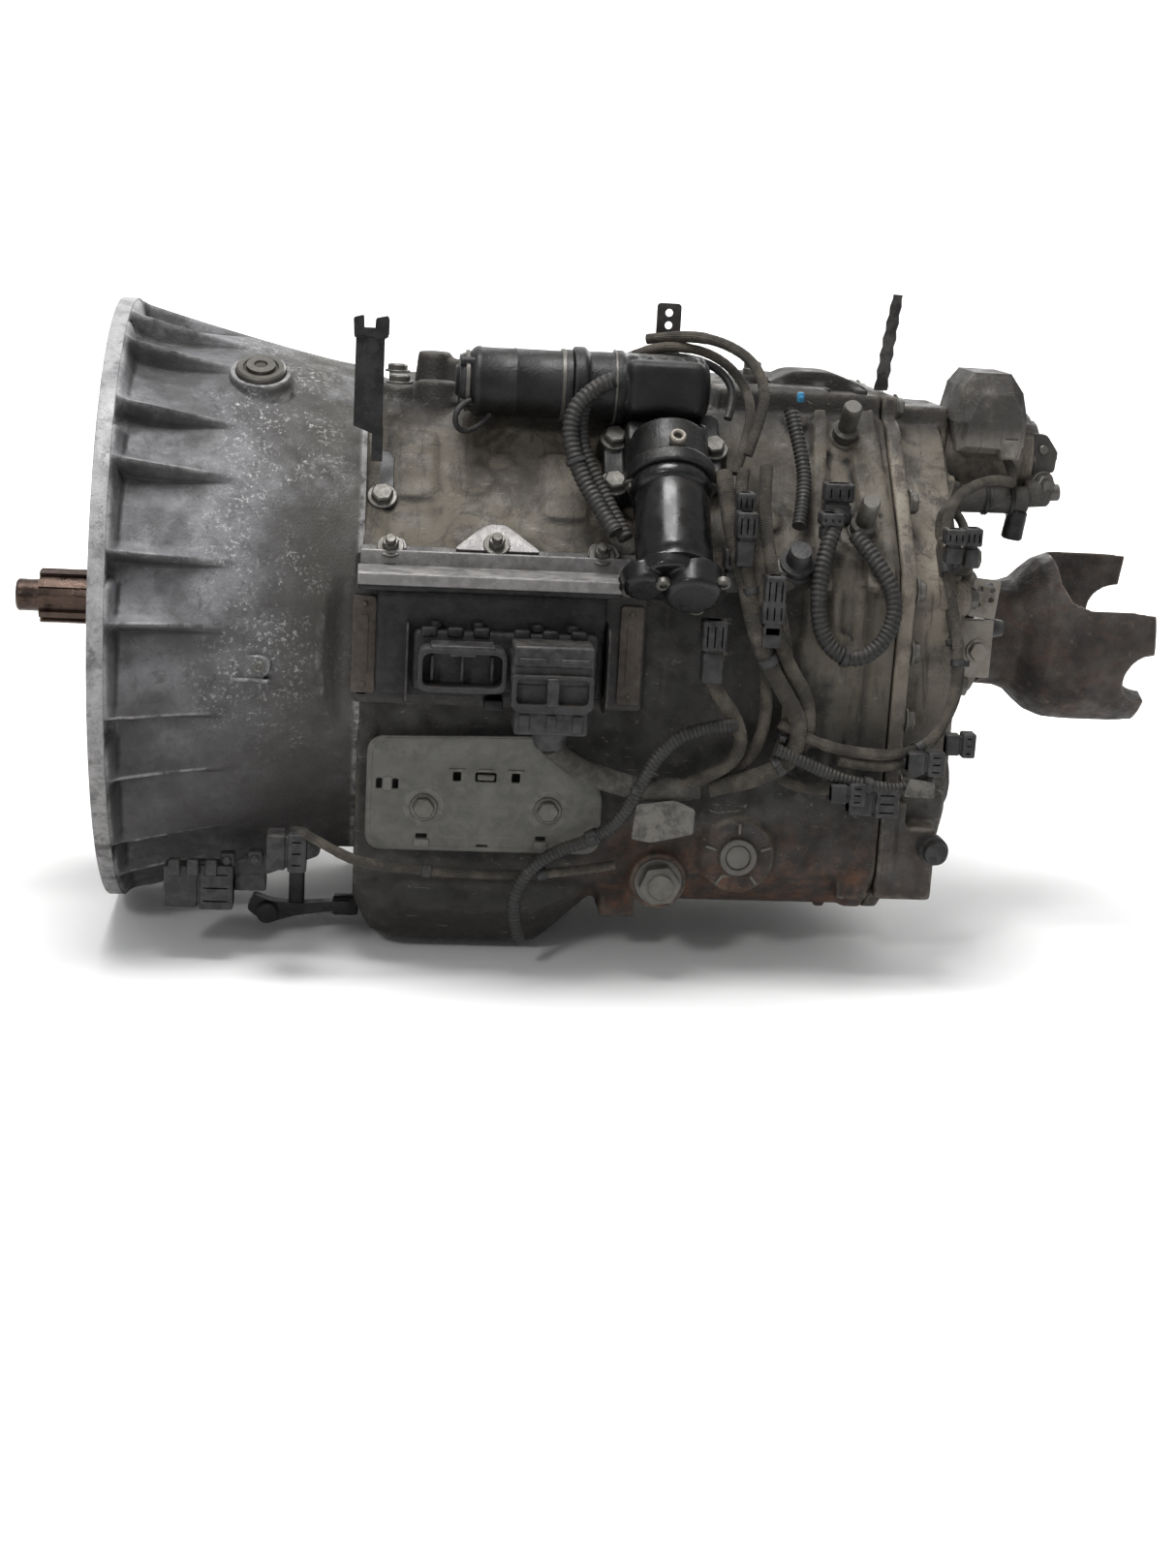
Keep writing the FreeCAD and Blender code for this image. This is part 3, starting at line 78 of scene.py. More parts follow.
# The bell's flange and its pockets. Wide and narrow pockets, in degrees, lie by turns between the ribs.
FLANGE_RADIUS = 277
BOLT_CIRCLE_RADIUS = 265.1
BOLT_HOLE_RADIUS = 5.95
BOLT_SEAT_RADIUS = 253.5
BELL_BACK_RADIUS = 226.5
BELL_FLARE = 48.5
POCKET_DEPTH = 20
FIRST_RIB = 24.5
WIDE_POCKET = 17.5
NARROW_POCKET = 12.5

# Lines and centres that several pieces share.
RAIL_MOTOR_Y, RAIL_MOTOR_Z = -132, 227
SELECT_X = 484
SHIELD_BOLT_XS, SHIELD_BOLT_Z = (283, 391), -132
SMALL_PLUG_X, SMALL_PLUG_Z = 492, -194
LARGE_PLUG_X, LARGE_PLUG_Z = 563, -172
COVER_FLANGE_BACK = HOUSING_HIGH.x + 14

# ---------------------------------------------------------------- places


def at(point, direction=(0, 0, 1), spin=0.0):
    """A frame at a point whose own Z looks along a direction, turned about it by spin degrees."""
    turn = Vector(direction).to_track_quat("Z", "Y").to_matrix().to_4x4()
    return Matrix.Translation(Vector(point)) @ turn @ Matrix.Rotation(math.radians(spin), 4, "Z")


def on_shoulder(x, up_slope, height=0.0, spin=0.0):
    """A frame on the 45 degree shoulder: own X along the shaft, own Y up the slope, own Z outward."""
    lie = Matrix.Rotation(math.radians(45), 4, "X")
    place = lie @ Matrix.Translation((x, up_slope, SHOULDER_DISTANCE + height))
    return place @ Matrix.Rotation(math.radians(spin), 4, "Z")


def on_side(x, z, y, spin=0.0):
    """A frame facing the controller's side: own X along the shaft, own Y up, own Z towards -Y."""
    stand = Matrix(((1, 0, 0, x), (0, 0, -1, y), (0, 1, 0, z), (0, 0, 0, 1)))
    return stand @ Matrix.Rotation(math.radians(spin), 4, "Z")


def round_spots(count, radius, first=0.0):
    """Points evenly round a circle, from a first angle in degrees."""
    angles = [math.radians(first + 360 / count * k) for k in range(count)]
    return [(radius * math.cos(angle), radius * math.sin(angle)) for angle in angles]


# ---------------------------------------------------------------- Blender's own data


def linked(thing):
    """Put an object into the scene."""
    bpy.context.scene.collection.objects.link(thing)
    return thing


def mesh_object(name, bm):
    """An object in the scene made from a bmesh, which is then spent."""
    mesh = bpy.data.meshes.new(name)
    bm.to_mesh(mesh)
    bm.free()
    return linked(bpy.data.objects.new(name, mesh))


def discard(thing):
    """Remove an object with its mesh or curve."""
    data = thing.data
    bpy.data.objects.remove(thing)
    store = bpy.data.curves if isinstance(data, bpy.types.Curve) else bpy.data.meshes
    store.remove(data)


def curve_mesh(curve):
    """The mesh that a curve makes; the curve is then spent."""
    holder = bpy.data.objects.new(curve.name, curve)
    mesh = bpy.data.meshes.new_from_object(holder)
    discard(holder)
    return mesh


def shaped_mesh(thing):
    """A new mesh of an object with its modifiers applied."""
    graph = bpy.context.evaluated_depsgraph_get()
    return bpy.data.meshes.new_from_object(thing.evaluated_get(graph), depsgraph=graph)


# ---------------------------------------------------------------- solids


def block(bm, low, high, bevel=1.0, place=Matrix()):
    """A block between two corners, with rounded edges."""
    low, high = Vector(low), Vector(high)
    size = Matrix.Diagonal((*(high - low), 1))
    made = bmesh.ops.create_cube(bm, size=1,
                                 matrix=place @ Matrix.Translation((low + high) / 2) @ size)["verts"]
    edges = list(dict.fromkeys(edge for vert in made for edge in vert.link_edges))
    if bevel:
        bmesh.ops.bevel(bm, geom=edges, offset=bevel, segments=3, profile=0.5, affect="EDGES")


def band_of_faces(bm, lower, upper):
    """Faces between two closed rings of as many points."""
    for i in range(len(lower)):
        after = (i + 1) % len(lower)
        bm.faces.new([lower[i], lower[after], upper[after], upper[i]])


def lathe(bm, profile, place=Matrix(), steps=48, closed=False):
    """A solid turned about the frame's Z from (radius, height) points; closed joins the last to the first."""
    rings = []
    for radius, height in profile:
        if radius == 0:
            rings.append([bm.verts.new(place @ Vector((0, 0, height)))] * steps)
            continue
        turns = [2 * math.pi * step / steps for step in range(steps)]
        rings.append([bm.verts.new(place @ Vector((radius * math.cos(a), radius * math.sin(a), height)))
                      for a in turns])
    pairs = list(zip(rings, rings[1:]))
    if closed:
        pairs.append((rings[-1], rings[0]))
    for lower, upper in pairs:
        for step in range(steps):
            after = (step + 1) % steps
            face = [lower[step], lower[after], upper[after], upper[step]]
            bm.faces.new(list(dict.fromkeys(face)))


def rod(bm, start, end, radius, end_radius=None, bevel=0.8, steps=40):
    """A cylinder or cone between two points, with rounded rims."""
    end_radius = radius if end_radius is None else end_radius
    length = (Vector(end) - Vector(start)).length
    lathe(bm, [(0, 0), (radius - bevel, 0), (radius, bevel), (end_radius, length - bevel),
               (end_radius - bevel, length), (0, length)], at(start, Vector(end) - Vector(start)), steps)


def ring(bm, place, inner, outer, height, bevel=0.5, steps=48):
    """A flat ring standing on the frame."""
    lathe(bm, [(inner, 0), (outer, 0), (outer, height - bevel), (outer - bevel, height),
               (inner + bevel, height), (inner, height - bevel)], place, steps, closed=True)


def rounded(points, radius, steps=5):
    """An outline with each corner replaced by an arc of about that radius."""
    count = len(points)
    smooth = []
    for i, point in enumerate(points):
        here = Vector(point)
        to_last = Vector(points[i - 1]) - here
        to_next = Vector(points[(i + 1) % count]) - here
        reach = min(radius, 0.45 * to_last.length, 0.45 * to_next.length)
        start = here + to_last.normalized() * reach
        end = here + to_next.normalized() * reach
        for step in range(steps + 1):
            t = step / steps
            smooth.append(start * (1 - t) ** 2 + here * 2 * t * (1 - t) + end * t ** 2)
    return smooth


def circle(radius, x=0.0, y=0.0, steps=32):
    """A round outline."""
    turns = [2 * math.pi * step / steps for step in range(steps)]
    return [Vector((x + radius * math.cos(a), y + radius * math.sin(a))) for a in turns]


def slot(width, height, x=0.0, y=0.0, corner=1.5):
    """A rectangular outline with rounded corners about a centre."""
    w, h = width / 2, height / 2
    return rounded([(x - w, y - h), (x + w, y - h), (x + w, y + h), (x - w, y + h)], corner, 4)


def plate(bm, outlines, place, depth, bevel=0.4):
    """A plate standing on the frame; the first outline is its edge and the others are its holes."""
    curve = bpy.data.curves.new("plate", "CURVE")
    curve.dimensions = "2D"
    curve.fill_mode = "BOTH"
    curve.extrude = depth / 2 - bevel
    curve.bevel_depth = bevel
    curve.bevel_resolution = 1
    curve.offset = -bevel
    for outline in outlines:
        spline = curve.splines.new("POLY")
        spline.points.add(len(outline) - 1)
        for point, corner in zip(spline.points, outline):
            point.co = (corner[0], corner[1], 0, 1)
        spline.use_cyclic_u = True
    mesh = curve_mesh(curve)
    mesh.transform(place @ Matrix.Translation((0, 0, depth / 2)))
    bm.from_mesh(mesh)
    bpy.data.meshes.remove(mesh)


def bar(bm, outline, place, depth):
    """A plain closed prism standing on the frame, for castings that are rounded later."""
    tapered(bm, outline, outline, place, depth)


def tapered(bm, outline, smaller, place, depth):
    """A closed prism whose far outline is a smaller one with as many corners."""
    lower = [bm.verts.new(place @ Vector((p[0], p[1], 0))) for p in outline]
    upper = [bm.verts.new(place @ Vector((p[0], p[1], depth))) for p in smaller]
    bm.faces.new(lower[::-1])
    bm.faces.new(upper)
    band_of_faces(bm, lower, upper)


ALONG_SHAFT = Matrix(((0, 0, 1, 0), (1, 0, 0, 0), (0, 1, 0, 0), (0, 0, 0, 1)))


def along_shaft(x):
    """A frame at a station along the shaft: own X along +Y, own Y up, own Z along +X."""
    return Matrix.Translation((x, 0, 0)) @ ALONG_SHAFT


def hex_head(bm, place, radius=9.5, height=7.5, washer=12.5):
    """A hexagon bolt head with its chamfer, on a flange washer."""
    if washer:
        lathe(bm, [(0, 0), (washer, 0), (washer, 1.3), (washer - 0.7, 1.9), (0, 1.9)], place, 36)
    base = 1.7 if washer else 0
    levels = [(base, 1.0), (height - 1.3, 1.0), (height, 0.86)]
    rings = []
    for level, scale in levels:
        verts = []
        for corner in range(6):
            for side in (-0.06, 0.06):
                angle = corner * math.pi / 3 + side
                spot = Vector((radius * scale * math.cos(angle), radius * scale * math.sin(angle), level))
                verts.append(bm.verts.new(place @ spot))
        rings.append(verts)
    for lower, upper in zip(rings, rings[1:]):
        band_of_faces(bm, lower, upper)
    bm.faces.new(rings[-1])
    bm.faces.new(rings[0][::-1])


def nut_on_stud(bm, place, radius=8.5, stud=14):
    """A nut and washer with a stud's threaded end standing out."""
    hex_head(bm, place, radius, 8, radius * 1.6)
    threaded(bm, place, 4.6, 7, stud)


def threaded(bm, place, radius, start, end, pitch=1.5):
    """A threaded end, turned as fine ridges."""
    profile = [(0, start)]
    turns = int((end - start) / pitch)
    for turn in range(turns):
        base = start + turn * pitch
        profile += [(radius * 0.9, base), (radius, base + pitch / 2)]
    profile += [(radius * 0.85, end), (0, end)]
    lathe(bm, profile, place, 24)


def carved(bm, cutter):
    """A solid with another cut out of it."""
    for part in (bm, cutter):
        bmesh.ops.recalc_face_normals(part, faces=part.faces)
    solid, tool = mesh_object("cut", bm), mesh_object("cut", cutter)
    modifier = solid.modifiers.new("cut", "BOOLEAN")
    modifier.operation = "DIFFERENCE"
    modifier.object = tool
    modifier.solver = "EXACT"
    made = shaped_mesh(solid)
    result = bmesh.new()
    result.from_mesh(made)
    bpy.data.meshes.remove(made)
    discard(solid)
    discard(tool)
    return result


def cad_copy(bm, node):
    """A CAD node's surface, in millimetres, with its doubled points joined."""
    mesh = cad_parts[node].data.copy()
    mesh.transform(Matrix.Scale(1 / MM, 4))
    before = len(bm.verts)
    bm.from_mesh(mesh)
    bpy.data.meshes.remove(mesh)
    bm.verts.ensure_lookup_table()
    bmesh.ops.remove_doubles(bm, verts=bm.verts[before:], dist=0.002)


# ---------------------------------------------------------------- finishing


def finished(name, bm, finish, material_slot, replaced=(), body="root", smooth=35):
    """Make a piece from a bmesh in millimetres, with its finish, its body and what it stands for."""
    bmesh.ops.transform(bm, matrix=Matrix.Scale(MM, 4), verts=bm.verts)
    bmesh.ops.recalc_face_normals(bm, faces=bm.faces)
    settled(mesh_object(name, bm), finish, material_slot, replaced, body, smooth)


def settled(piece, finish, material_slot, replaced, body, smooth):
    """Shade a piece, give it its finish and let it ride on its body."""
    piece.data.materials.append(finish)
    if smooth:
        piece.data.set_sharp_from_angle(angle=math.radians(smooth))
    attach(piece, body)
    if replaced:
        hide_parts(*replaced)


def cast(name, bm, finish, material_slot, voxel, rounding, replaced=(), body="root"):
    """Make a casting: its solids run together on a fine grid and their edges are rounded."""
    bmesh.ops.recalc_face_normals(bm, faces=bm.faces)
    rough = mesh_object(name + "_rough", bm)
    grid = rough.modifiers.new("grid", "REMESH")
    grid.mode = "VOXEL"
    grid.voxel_size = voxel
    soften = rough.modifiers.new("soften", "SMOOTH")
    soften.factor = 0.5
    soften.iterations = rounding
    made = shaped_mesh(rough)
    made.transform(Matrix.Scale(MM, 4))
    made.shade_smooth()
    discard(rough)
    made.materials.clear()
    made.name = name
    piece = linked(bpy.data.objects.new(name, made))
    settled(piece, finish, material_slot, replaced, body, smooth=None)


# ---------------------------------------------------------------- materials


def tone(red, green, blue):
    """A display colour, 0 to 255, as the linear colour that a shader takes."""
    linear = [c / 255 / 12.92 if c / 255 <= 0.04045 else ((c / 255 + 0.055) / 1.055) ** 2.4
              for c in (red, green, blue)]
    return (*linear, 1)


class Finish:
    """A node material under construction, with short calls for what every finish repeats."""

    def __init__(self, name, metallic=0.0, roughness=0.6, coat=0.0):
        self.material = bpy.data.materials.new(name)
        self.material.use_nodes = True
        self.tree = self.material.node_tree
        self.shader = self.tree.nodes["Principled BSDF"]
        self.shader.inputs["Metallic"].default_value = metallic
        self.shader.inputs["Roughness"].default_value = roughness
        self.shader.inputs["Coat Weight"].default_value = coat
        self.shader.inputs["Coat Roughness"].default_value = 0.12
        self.place = self.tree.nodes.new("ShaderNodeTexCoord").outputs["Object"]
        self.height = None

    def node(self, kind, **values):
        """A new node of a kind, with its settings."""
        made = self.tree.nodes.new(kind)
        for name, value in values.items():
            setattr(made, name, value)
        return made

    def feed(self, socket, value):
        """Link an output to a socket, or set it to a constant."""
        if isinstance(value, bpy.types.NodeSocket):
            self.tree.links.new(value, socket)
        else:
            socket.default_value = value

    def noise(self, scale, detail=4.0, rough=0.55, twist=0.0, stretch=None, place=None):
        """Noise in cycles per metre, optionally stretched along an axis."""
        made = self.node("ShaderNodeTexNoise")
        source = place or self.place
        if stretch:
            mapping = self.node("ShaderNodeMapping")
            mapping.inputs["Scale"].default_value = stretch
            self.feed(mapping.inputs["Vector"], source)
            source = mapping.outputs["Vector"]
        self.feed(made.inputs["Vector"], source)
        made.inputs["Scale"].default_value = scale
        made.inputs["Detail"].default_value = detail
        made.inputs["Roughness"].default_value = rough
        made.inputs["Distortion"].default_value = twist
        return made.outputs["Fac"]

    def band(self, value, low, high, start=0.0, end=1.0):
        """A smooth step of a value between two levels."""
        made = self.node("ShaderNodeMapRange", interpolation_type="SMOOTHSTEP")
        self.feed(made.inputs["Value"], value)
        made.inputs["From Min"].default_value = low
        made.inputs["From Max"].default_value = high
        made.inputs["To Min"].default_value = start
        made.inputs["To Max"].default_value = end
        return made.outputs["Result"]

    def math(self, operation, first, second=0.0):
        """Two values put together by a named operation."""
        made = self.node("ShaderNodeMath", operation=operation)
        self.feed(made.inputs[0], first)
        self.feed(made.inputs[1], second)
        return made.outputs[0]

    def both(self, first, second):
        """Two masks multiplied, or a mask times a share."""
        return self.math("MULTIPLY", first, second)

    def axis(self, name):
        """One coordinate of the surface point, in metres."""
        made = self.node("ShaderNodeSeparateXYZ")
        self.feed(made.inputs[0], self.place)
        return made.outputs[name]

    def edges(self, low=0.5, high=0.56):
        """Where the surface is convex, as on a worn edge; with low above high, where it is hollow, as for
        painted shade in hollows.
        """
        made = self.node("ShaderNodeNewGeometry")
        return self.band(made.outputs["Pointiness"], low, high)

    def upward(self, low=0.1, high=0.8):
        """Where the surface faces up: where dust settles, and where painted light from above falls."""
        normal = self.node("ShaderNodeNewGeometry").outputs["Normal"]
        made = self.node("ShaderNodeSeparateXYZ")
        self.feed(made.inputs[0], normal)
        return self.band(made.outputs["Z"], low, high)

    def blend(self, amount, under, over):
        """A colour over another by an amount."""
        made = self.node("ShaderNodeMix", data_type="RGBA")
        self.feed(made.inputs["Factor"], amount)
        self.feed(made.inputs[6], under)
        self.feed(made.inputs[7], over)
        return made.outputs[2]

    def over(self, under, top, where, share):
        """A colour laid over another where a mask says, by a share."""
        return self.blend(self.both(where, share), under, top)

    def relief(self, value, depth):
        """Add a bump of a depth in metres."""
        made = self.node("ShaderNodeBump")
        made.inputs["Distance"].default_value = depth
        made.inputs["Strength"].default_value = 1.0
        self.feed(made.inputs["Height"], value)
        if self.height is not None:
            self.feed(made.inputs["Normal"], self.height)
        self.height = made.outputs["Normal"]

    def done(self, colour, roughness=None):
        """Join the colour, roughness and relief to the shader, and hand over the material."""
        self.feed(self.shader.inputs["Base Color"], colour)
        if roughness is not None:
            self.feed(self.shader.inputs["Roughness"], roughness)
        if self.height is not None:
            self.feed(self.shader.inputs["Normal"], self.height)
        return self.material


def bell_finish():
    """Bare cast aluminium: cool mottled grey, bright scuffs on the waist, sandy dust to the rear; painted
    shade low down, under the ribs, in the pocket corners and in hollows.
    """
    f = Finish("bell_aluminium", metallic=0.2, roughness=0.6)
    mottle = f.band(f.noise(8, 7, 0.66), 0.38, 0.62)
    colour = f.blend(mottle, tone(74, 73, 74), tone(120, 120, 123))
    station = f.axis("X")
    colour = f.over(colour, tone(182, 181, 182), f.band(station, 0.022, 0.012), 0.6)
    clouds = f.band(f.noise(24, 6, 0.68), 0.46, 0.66)
    colour = f.over(colour, tone(68, 66, 67), clouds, 0.65)
    sandy = f.both(f.band(station, 0.1, 0.19), f.band(f.noise(12, 6, 0.62), 0.24, 0.46))
    colour = f.over(colour, tone(54, 51, 46), sandy, 0.92)
    height = f.axis("Z")
    # painted shade: darker towards the bottom, broken by noise
    shade = f.both(f.band(height, 0.1, -0.2), f.band(f.noise(11, 6, 0.65), 0.26, 0.52))
    colour = f.over(colour, tone(54, 51, 50), shade, 0.85)
    waist = f.both(f.band(station, 0.06, 0.12), f.band(station, 0.23, 0.15))
    flecks = f.band(f.noise(260, 6, 0.8), 0.53, 0.62)
    patches = f.band(f.noise(17, 5, 0.7), 0.42, 0.6)
    scuffs = f.both(f.both(waist, flecks), patches)
    scuffs = f.both(scuffs, f.band(height, -0.15, 0.05))
    colour = f.over(colour, tone(186, 186, 184), scuffs, 0.9)
    worn = f.both(f.edges(0.508, 0.545), f.band(f.noise(60, 5, 0.7), 0.36, 0.6))
    colour = f.over(colour, tone(168, 167, 166), worn, 0.55)
    # painted shade in the pockets, under each rib and in the corner at the flange, read from the shell's
    # points and broken by noise
    stored_pocket_shade = f.node("ShaderNodeAttribute", attribute_name="grime_and_shade").outputs["Fac"]
    pocket_shade = f.both(stored_pocket_shade, f.band(f.noise(40, 6, 0.7), 0.2, 0.55))
    colour = f.over(colour, tone(40, 38, 37), pocket_shade, 0.85)
    # painted shade: hollows darkened, found from pointiness
    colour = f.over(colour, tone(36, 34, 33), f.edges(0.497, 0.47), 0.85)
    grime_and_shade = f.band(f.noise(70, 6, 0.75, 0.5), 0.54, 0.65)
    colour = f.over(colour, tone(52, 49, 48), grime_and_shade, 0.5)
    pits = f.band(f.noise(700, 3, 0.6), 0.54, 0.72)
    colour = f.over(colour, tone(50, 48, 47), pits, 0.35)
    f.relief(f.noise(38, 4, 0.55), 0.0012)
    f.relief(f.noise(420, 4, 0.65), 0.0007)
    return f.done(colour, f.band(f.noise(50, 4), 0.3, 0.7, 0.5, 0.78))


def case_finish(name, light, mid, dark, rust_amount):
    """Painted casting with oil stains on top: lighter on the shoulder and dark on the side as painted light
    and shade from above, painted shade low down at the front, rusty low down.
    """
    f = Finish(name, metallic=0.05, roughness=0.68)
    mottle = f.band(f.noise(9, 7, 0.68), 0.38, 0.62)
    top = f.blend(mottle, tone(*mid), tone(*light))
    blotch = f.band(f.noise(22, 7, 0.74, 0.8), 0.48, 0.6)
    top = f.over(top, tone(50, 45, 39), blotch, 0.75)
    oil = f.band(f.noise(7, 6, 0.7, 0.5), 0.52, 0.6)
    top = f.over(top, tone(40, 36, 32), oil, 0.65)
    lighter = tuple(c + 22 for c in dark)
    side = f.blend(f.band(f.noise(13, 7, 0.68), 0.42, 0.64), tone(*dark), tone(*lighter))
    height = f.axis("Z")
    station = f.axis("X")
    rearward = f.both(f.band(station, 0.57, 0.64), f.band(height, -0.1, 0.02))
    settled = f.both(rearward, f.band(f.noise(14, 6, 0.7), 0.3, 0.56))
    side = f.over(side, tone(*light), settled, 0.9)
    dusting = f.band(f.noise(55, 6, 0.75, 0.4), 0.55, 0.67)
    side = f.over(side, tone(*mid), dusting, 0.4)
    # painted light and shade: faces turned up take the lighter top colour, the others the darker side colour
    colour = f.blend(f.upward(0.05, 0.6), side, top)
    low = f.both(f.band(height, -0.12, -0.2), f.band(station, 0.4, 0.47))
    rust = f.both(low, f.band(f.noise(15, 6, 0.65), 0.32, 0.6))
    rust_tone = f.blend(f.band(f.noise(60, 6, 0.7), 0.4, 0.62), tone(46, 31, 22), tone(82, 52, 33))
    colour = f.over(colour, rust_tone, rust, rust_amount)
    # painted shade: darker low down, towards the front
    low_painted_shade = f.both(f.band(height, -0.19, -0.25), f.band(station, 0.46, 0.4))
    colour = f.over(colour, tone(24, 21, 18), low_painted_shade, 0.7)
    sooty = f.both(f.band(height, 0.178, 0.205), f.band(f.noise(20, 5, 0.6), 0.2, 0.46))
    colour = f.over(colour, tone(34, 31, 29), sooty, 0.88)
    streaks = f.band(f.noise(90, 6, 0.75, 0.6, stretch=(1.0, 0.16, 0.16)), 0.53, 0.63)
    colour = f.over(colour, tone(34, 31, 27), streaks, 0.5)
    scratch = f.band(f.noise(150, 5, 0.8, 0.8, stretch=(0.35, 1.0, 1.0)), 0.61, 0.68)
    colour = f.over(colour, tone(150, 143, 130), scratch, 0.35)
    worn = f.both(f.edges(0.508, 0.545), f.band(f.noise(80, 5, 0.7), 0.4, 0.6))
    colour = f.over(colour, tone(*light), worn, 0.35)
    # painted shade: hollows darkened, found from pointiness
    colour = f.over(colour, tone(20, 18, 16), f.edges(0.496, 0.46), 0.9)
    f.relief(f.noise(34, 5, 0.6), 0.0014)
    f.relief(f.noise(380, 4, 0.65), 0.0009)
    return f.done(colour, f.band(f.noise(45, 4), 0.3, 0.7, 0.52, 0.85))


def black_finish(name, base, dusty, roughness, coat, dust_amount, metallic=0.0, grain=0.0004):
    """Black paint or plastic with dust on top and pale rubbed edges."""
    f = Finish(name, metallic, roughness, coat)
    f.shader.inputs["Specular IOR Level"].default_value = 0.3
    colour = f.blend(f.band(f.noise(22, 6, 0.65), 0.38, 0.62), tone(*base), tone(*[c + 10 for c in base]))
    dust = f.both(f.upward(0.2, 1.0), f.band(f.noise(38, 7, 0.72), 0.42, 0.62))
    colour = f.over(colour, tone(*dusty), dust, dust_amount)
    smear = f.band(f.noise(130, 6, 0.78, 0.6), 0.58, 0.68)
    colour = f.over(colour, tone(*dusty), smear, 0.5 * dust_amount)
    worn = f.both(f.edges(0.51, 0.56), f.band(f.noise(120, 4), 0.4, 0.6))
    colour = f.over(colour, tone(*[c + 40 for c in base]), worn, 0.4)
    f.relief(f.noise(500, 4, 0.6), grain)
    rough = f.band(f.noise(60, 4), 0.3, 0.7, max(0.08, roughness - 0.1), roughness + 0.12)
    return f.done(colour, rough)


def steel_finish(name, base, stain, roughness, stain_amount, metallic=0.85):
    """Plated or bare steel with stains in patches."""
    f = Finish(name, metallic, roughness)
    patches = f.band(f.noise(55, 6, 0.65), 0.42, 0.66)
    colour = f.over(tone(*base), tone(*stain), patches, stain_amount)
    specks = f.band(f.noise(320, 4, 0.7), 0.55, 0.7)
    colour = f.over(colour, tone(*[c * 0.5 for c in stain]), specks, 0.4)
    worn = f.edges(0.51, 0.56)
    colour = f.over(colour, tone(*[min(255, c * 1.35) for c in base]), worn, 0.4)
    f.relief(f.noise(600, 3, 0.6), 0.0003)
    return f.done(colour, f.band(f.noise(80, 4), 0.3, 0.7, roughness - 0.1, roughness + 0.15))


def forging_finish():
    """Rusty forged iron: dark brown-grey scale with warm rust and rough pitting."""
    f = Finish("yoke_iron", metallic=0.25, roughness=0.68)
    colour = f.blend(f.band(f.noise(16, 6, 0.65), 0.35, 0.65), tone(36, 32, 30), tone(66, 60, 56))
    rust = f.band(f.noise(48, 6, 0.7, 0.5), 0.48, 0.68)
    colour = f.over(colour, tone(80, 56, 41), rust, 0.45)
    pale = f.band(f.noise(85, 5, 0.75), 0.6, 0.72)
    colour = f.over(colour, tone(122, 110, 98), pale, 0.45)
    worn = f.edges(0.505, 0.54)
    colour = f.over(colour, tone(112, 102, 92), worn, 0.55)
    # painted shade: hollows darkened, found from pointiness
    colour = f.over(colour, tone(22, 18, 16), f.edges(0.496, 0.46), 0.8)
    f.relief(f.noise(60, 5, 0.6), 0.0018)
    f.relief(f.noise(420, 4, 0.7), 0.0008)
    return f.done(colour, f.band(f.noise(70, 4), 0.3, 0.7, 0.5, 0.85))


def woven_finish(name, base, pale):
    """A woven cloth sleeve: crossed strands along the lead, dusty."""
    f = Finish(name, roughness=0.85)
    strands = f.tree.nodes.new("ShaderNodeUVMap")
    strands.uv_map = "along"
    split = f.node("ShaderNodeSeparateXYZ")
    f.feed(split.inputs[0], strands.outputs[0])
    around, along = split.outputs["X"], split.outputs["Y"]
    weave_pitch = 2 * math.pi / 0.0028
    left = f.math("SINE", f.both(f.math("ADD", around, along), weave_pitch))
    right = f.math("SINE", f.both(f.math("SUBTRACT", around, along), weave_pitch))
    weave = f.both(left, right)
    colour = f.blend(f.band(weave, -0.6, 0.8), tone(*[c * 0.55 for c in base]), tone(*base))
    dust = f.band(f.noise(36, 5, 0.65), 0.4, 0.66)
    colour = f.over(colour, tone(*pale), dust, 0.7)
    f.relief(weave, 0.0005)
    f.relief(f.noise(220, 3), 0.0005)
    return f.done(colour)


def tape_finish(name, base, roughness, metallic=0.0):
    """Wrinkled tape or foil label, left blank."""
    f = Finish(name, metallic=metallic, roughness=roughness)
    crease = f.noise(70, 6, 0.75, 0.3)
    colour = f.blend(f.band(crease, 0.36, 0.6), tone(*[c * 0.6 for c in base]), tone(*base))
    f.relief(crease, 0.0016)
    return f.done(colour)


def floor_finish():
    """Plain pale floor."""
    f = Finish("studio_floor", roughness=0.85)
    colour = f.blend(f.band(f.noise(0.8, 2), 0.3, 0.7), tone(240, 240, 239), tone(246, 246, 245))
    return f.done(colour)


BELL = bell_finish()
CASE = case_finish("case_casting", (93, 87, 76), (73, 67, 58), (26, 24, 22), 0.85)
REAR_CASE = case_finish("rear_casting", (122, 114, 102), (90, 84, 74), (42, 39, 36), 0.2)
VALVE = case_finish("valve_casting", (132, 127, 120), (104, 100, 95), (84, 81, 77), 0.0)
TOP_CASE = case_finish("top_casting", (38, 36, 33), (31, 29, 27), (24, 23, 21), 0.0)
DARK_CASE = case_finish("dark_casting", (62, 59, 55), (50, 48, 45), (34, 33, 31), 0.0)
LIP = black_finish("bracket_lip_steel", (100, 98, 97), (156, 153, 150), 0.42, 0.0, 0.8, metallic=0.3)
SATIN_BLACK = black_finish("shifter_black", (12, 12, 12), (62, 59, 54), 0.42, 0.0, 0.36)
GLOSS_BLACK = black_finish("motor_gloss_black", (9, 9, 10), (60, 53, 44), 0.28, 0.12, 0.22, grain=0.0001)
CONTROLLER_BLACK = black_finish("controller_black", (12, 11, 12), (78, 75, 71), 0.55, 0.0, 0.26)
PLASTIC = black_finish("connector_plastic", (33, 32, 32), (86, 81, 74), 0.5, 0.0, 0.45)
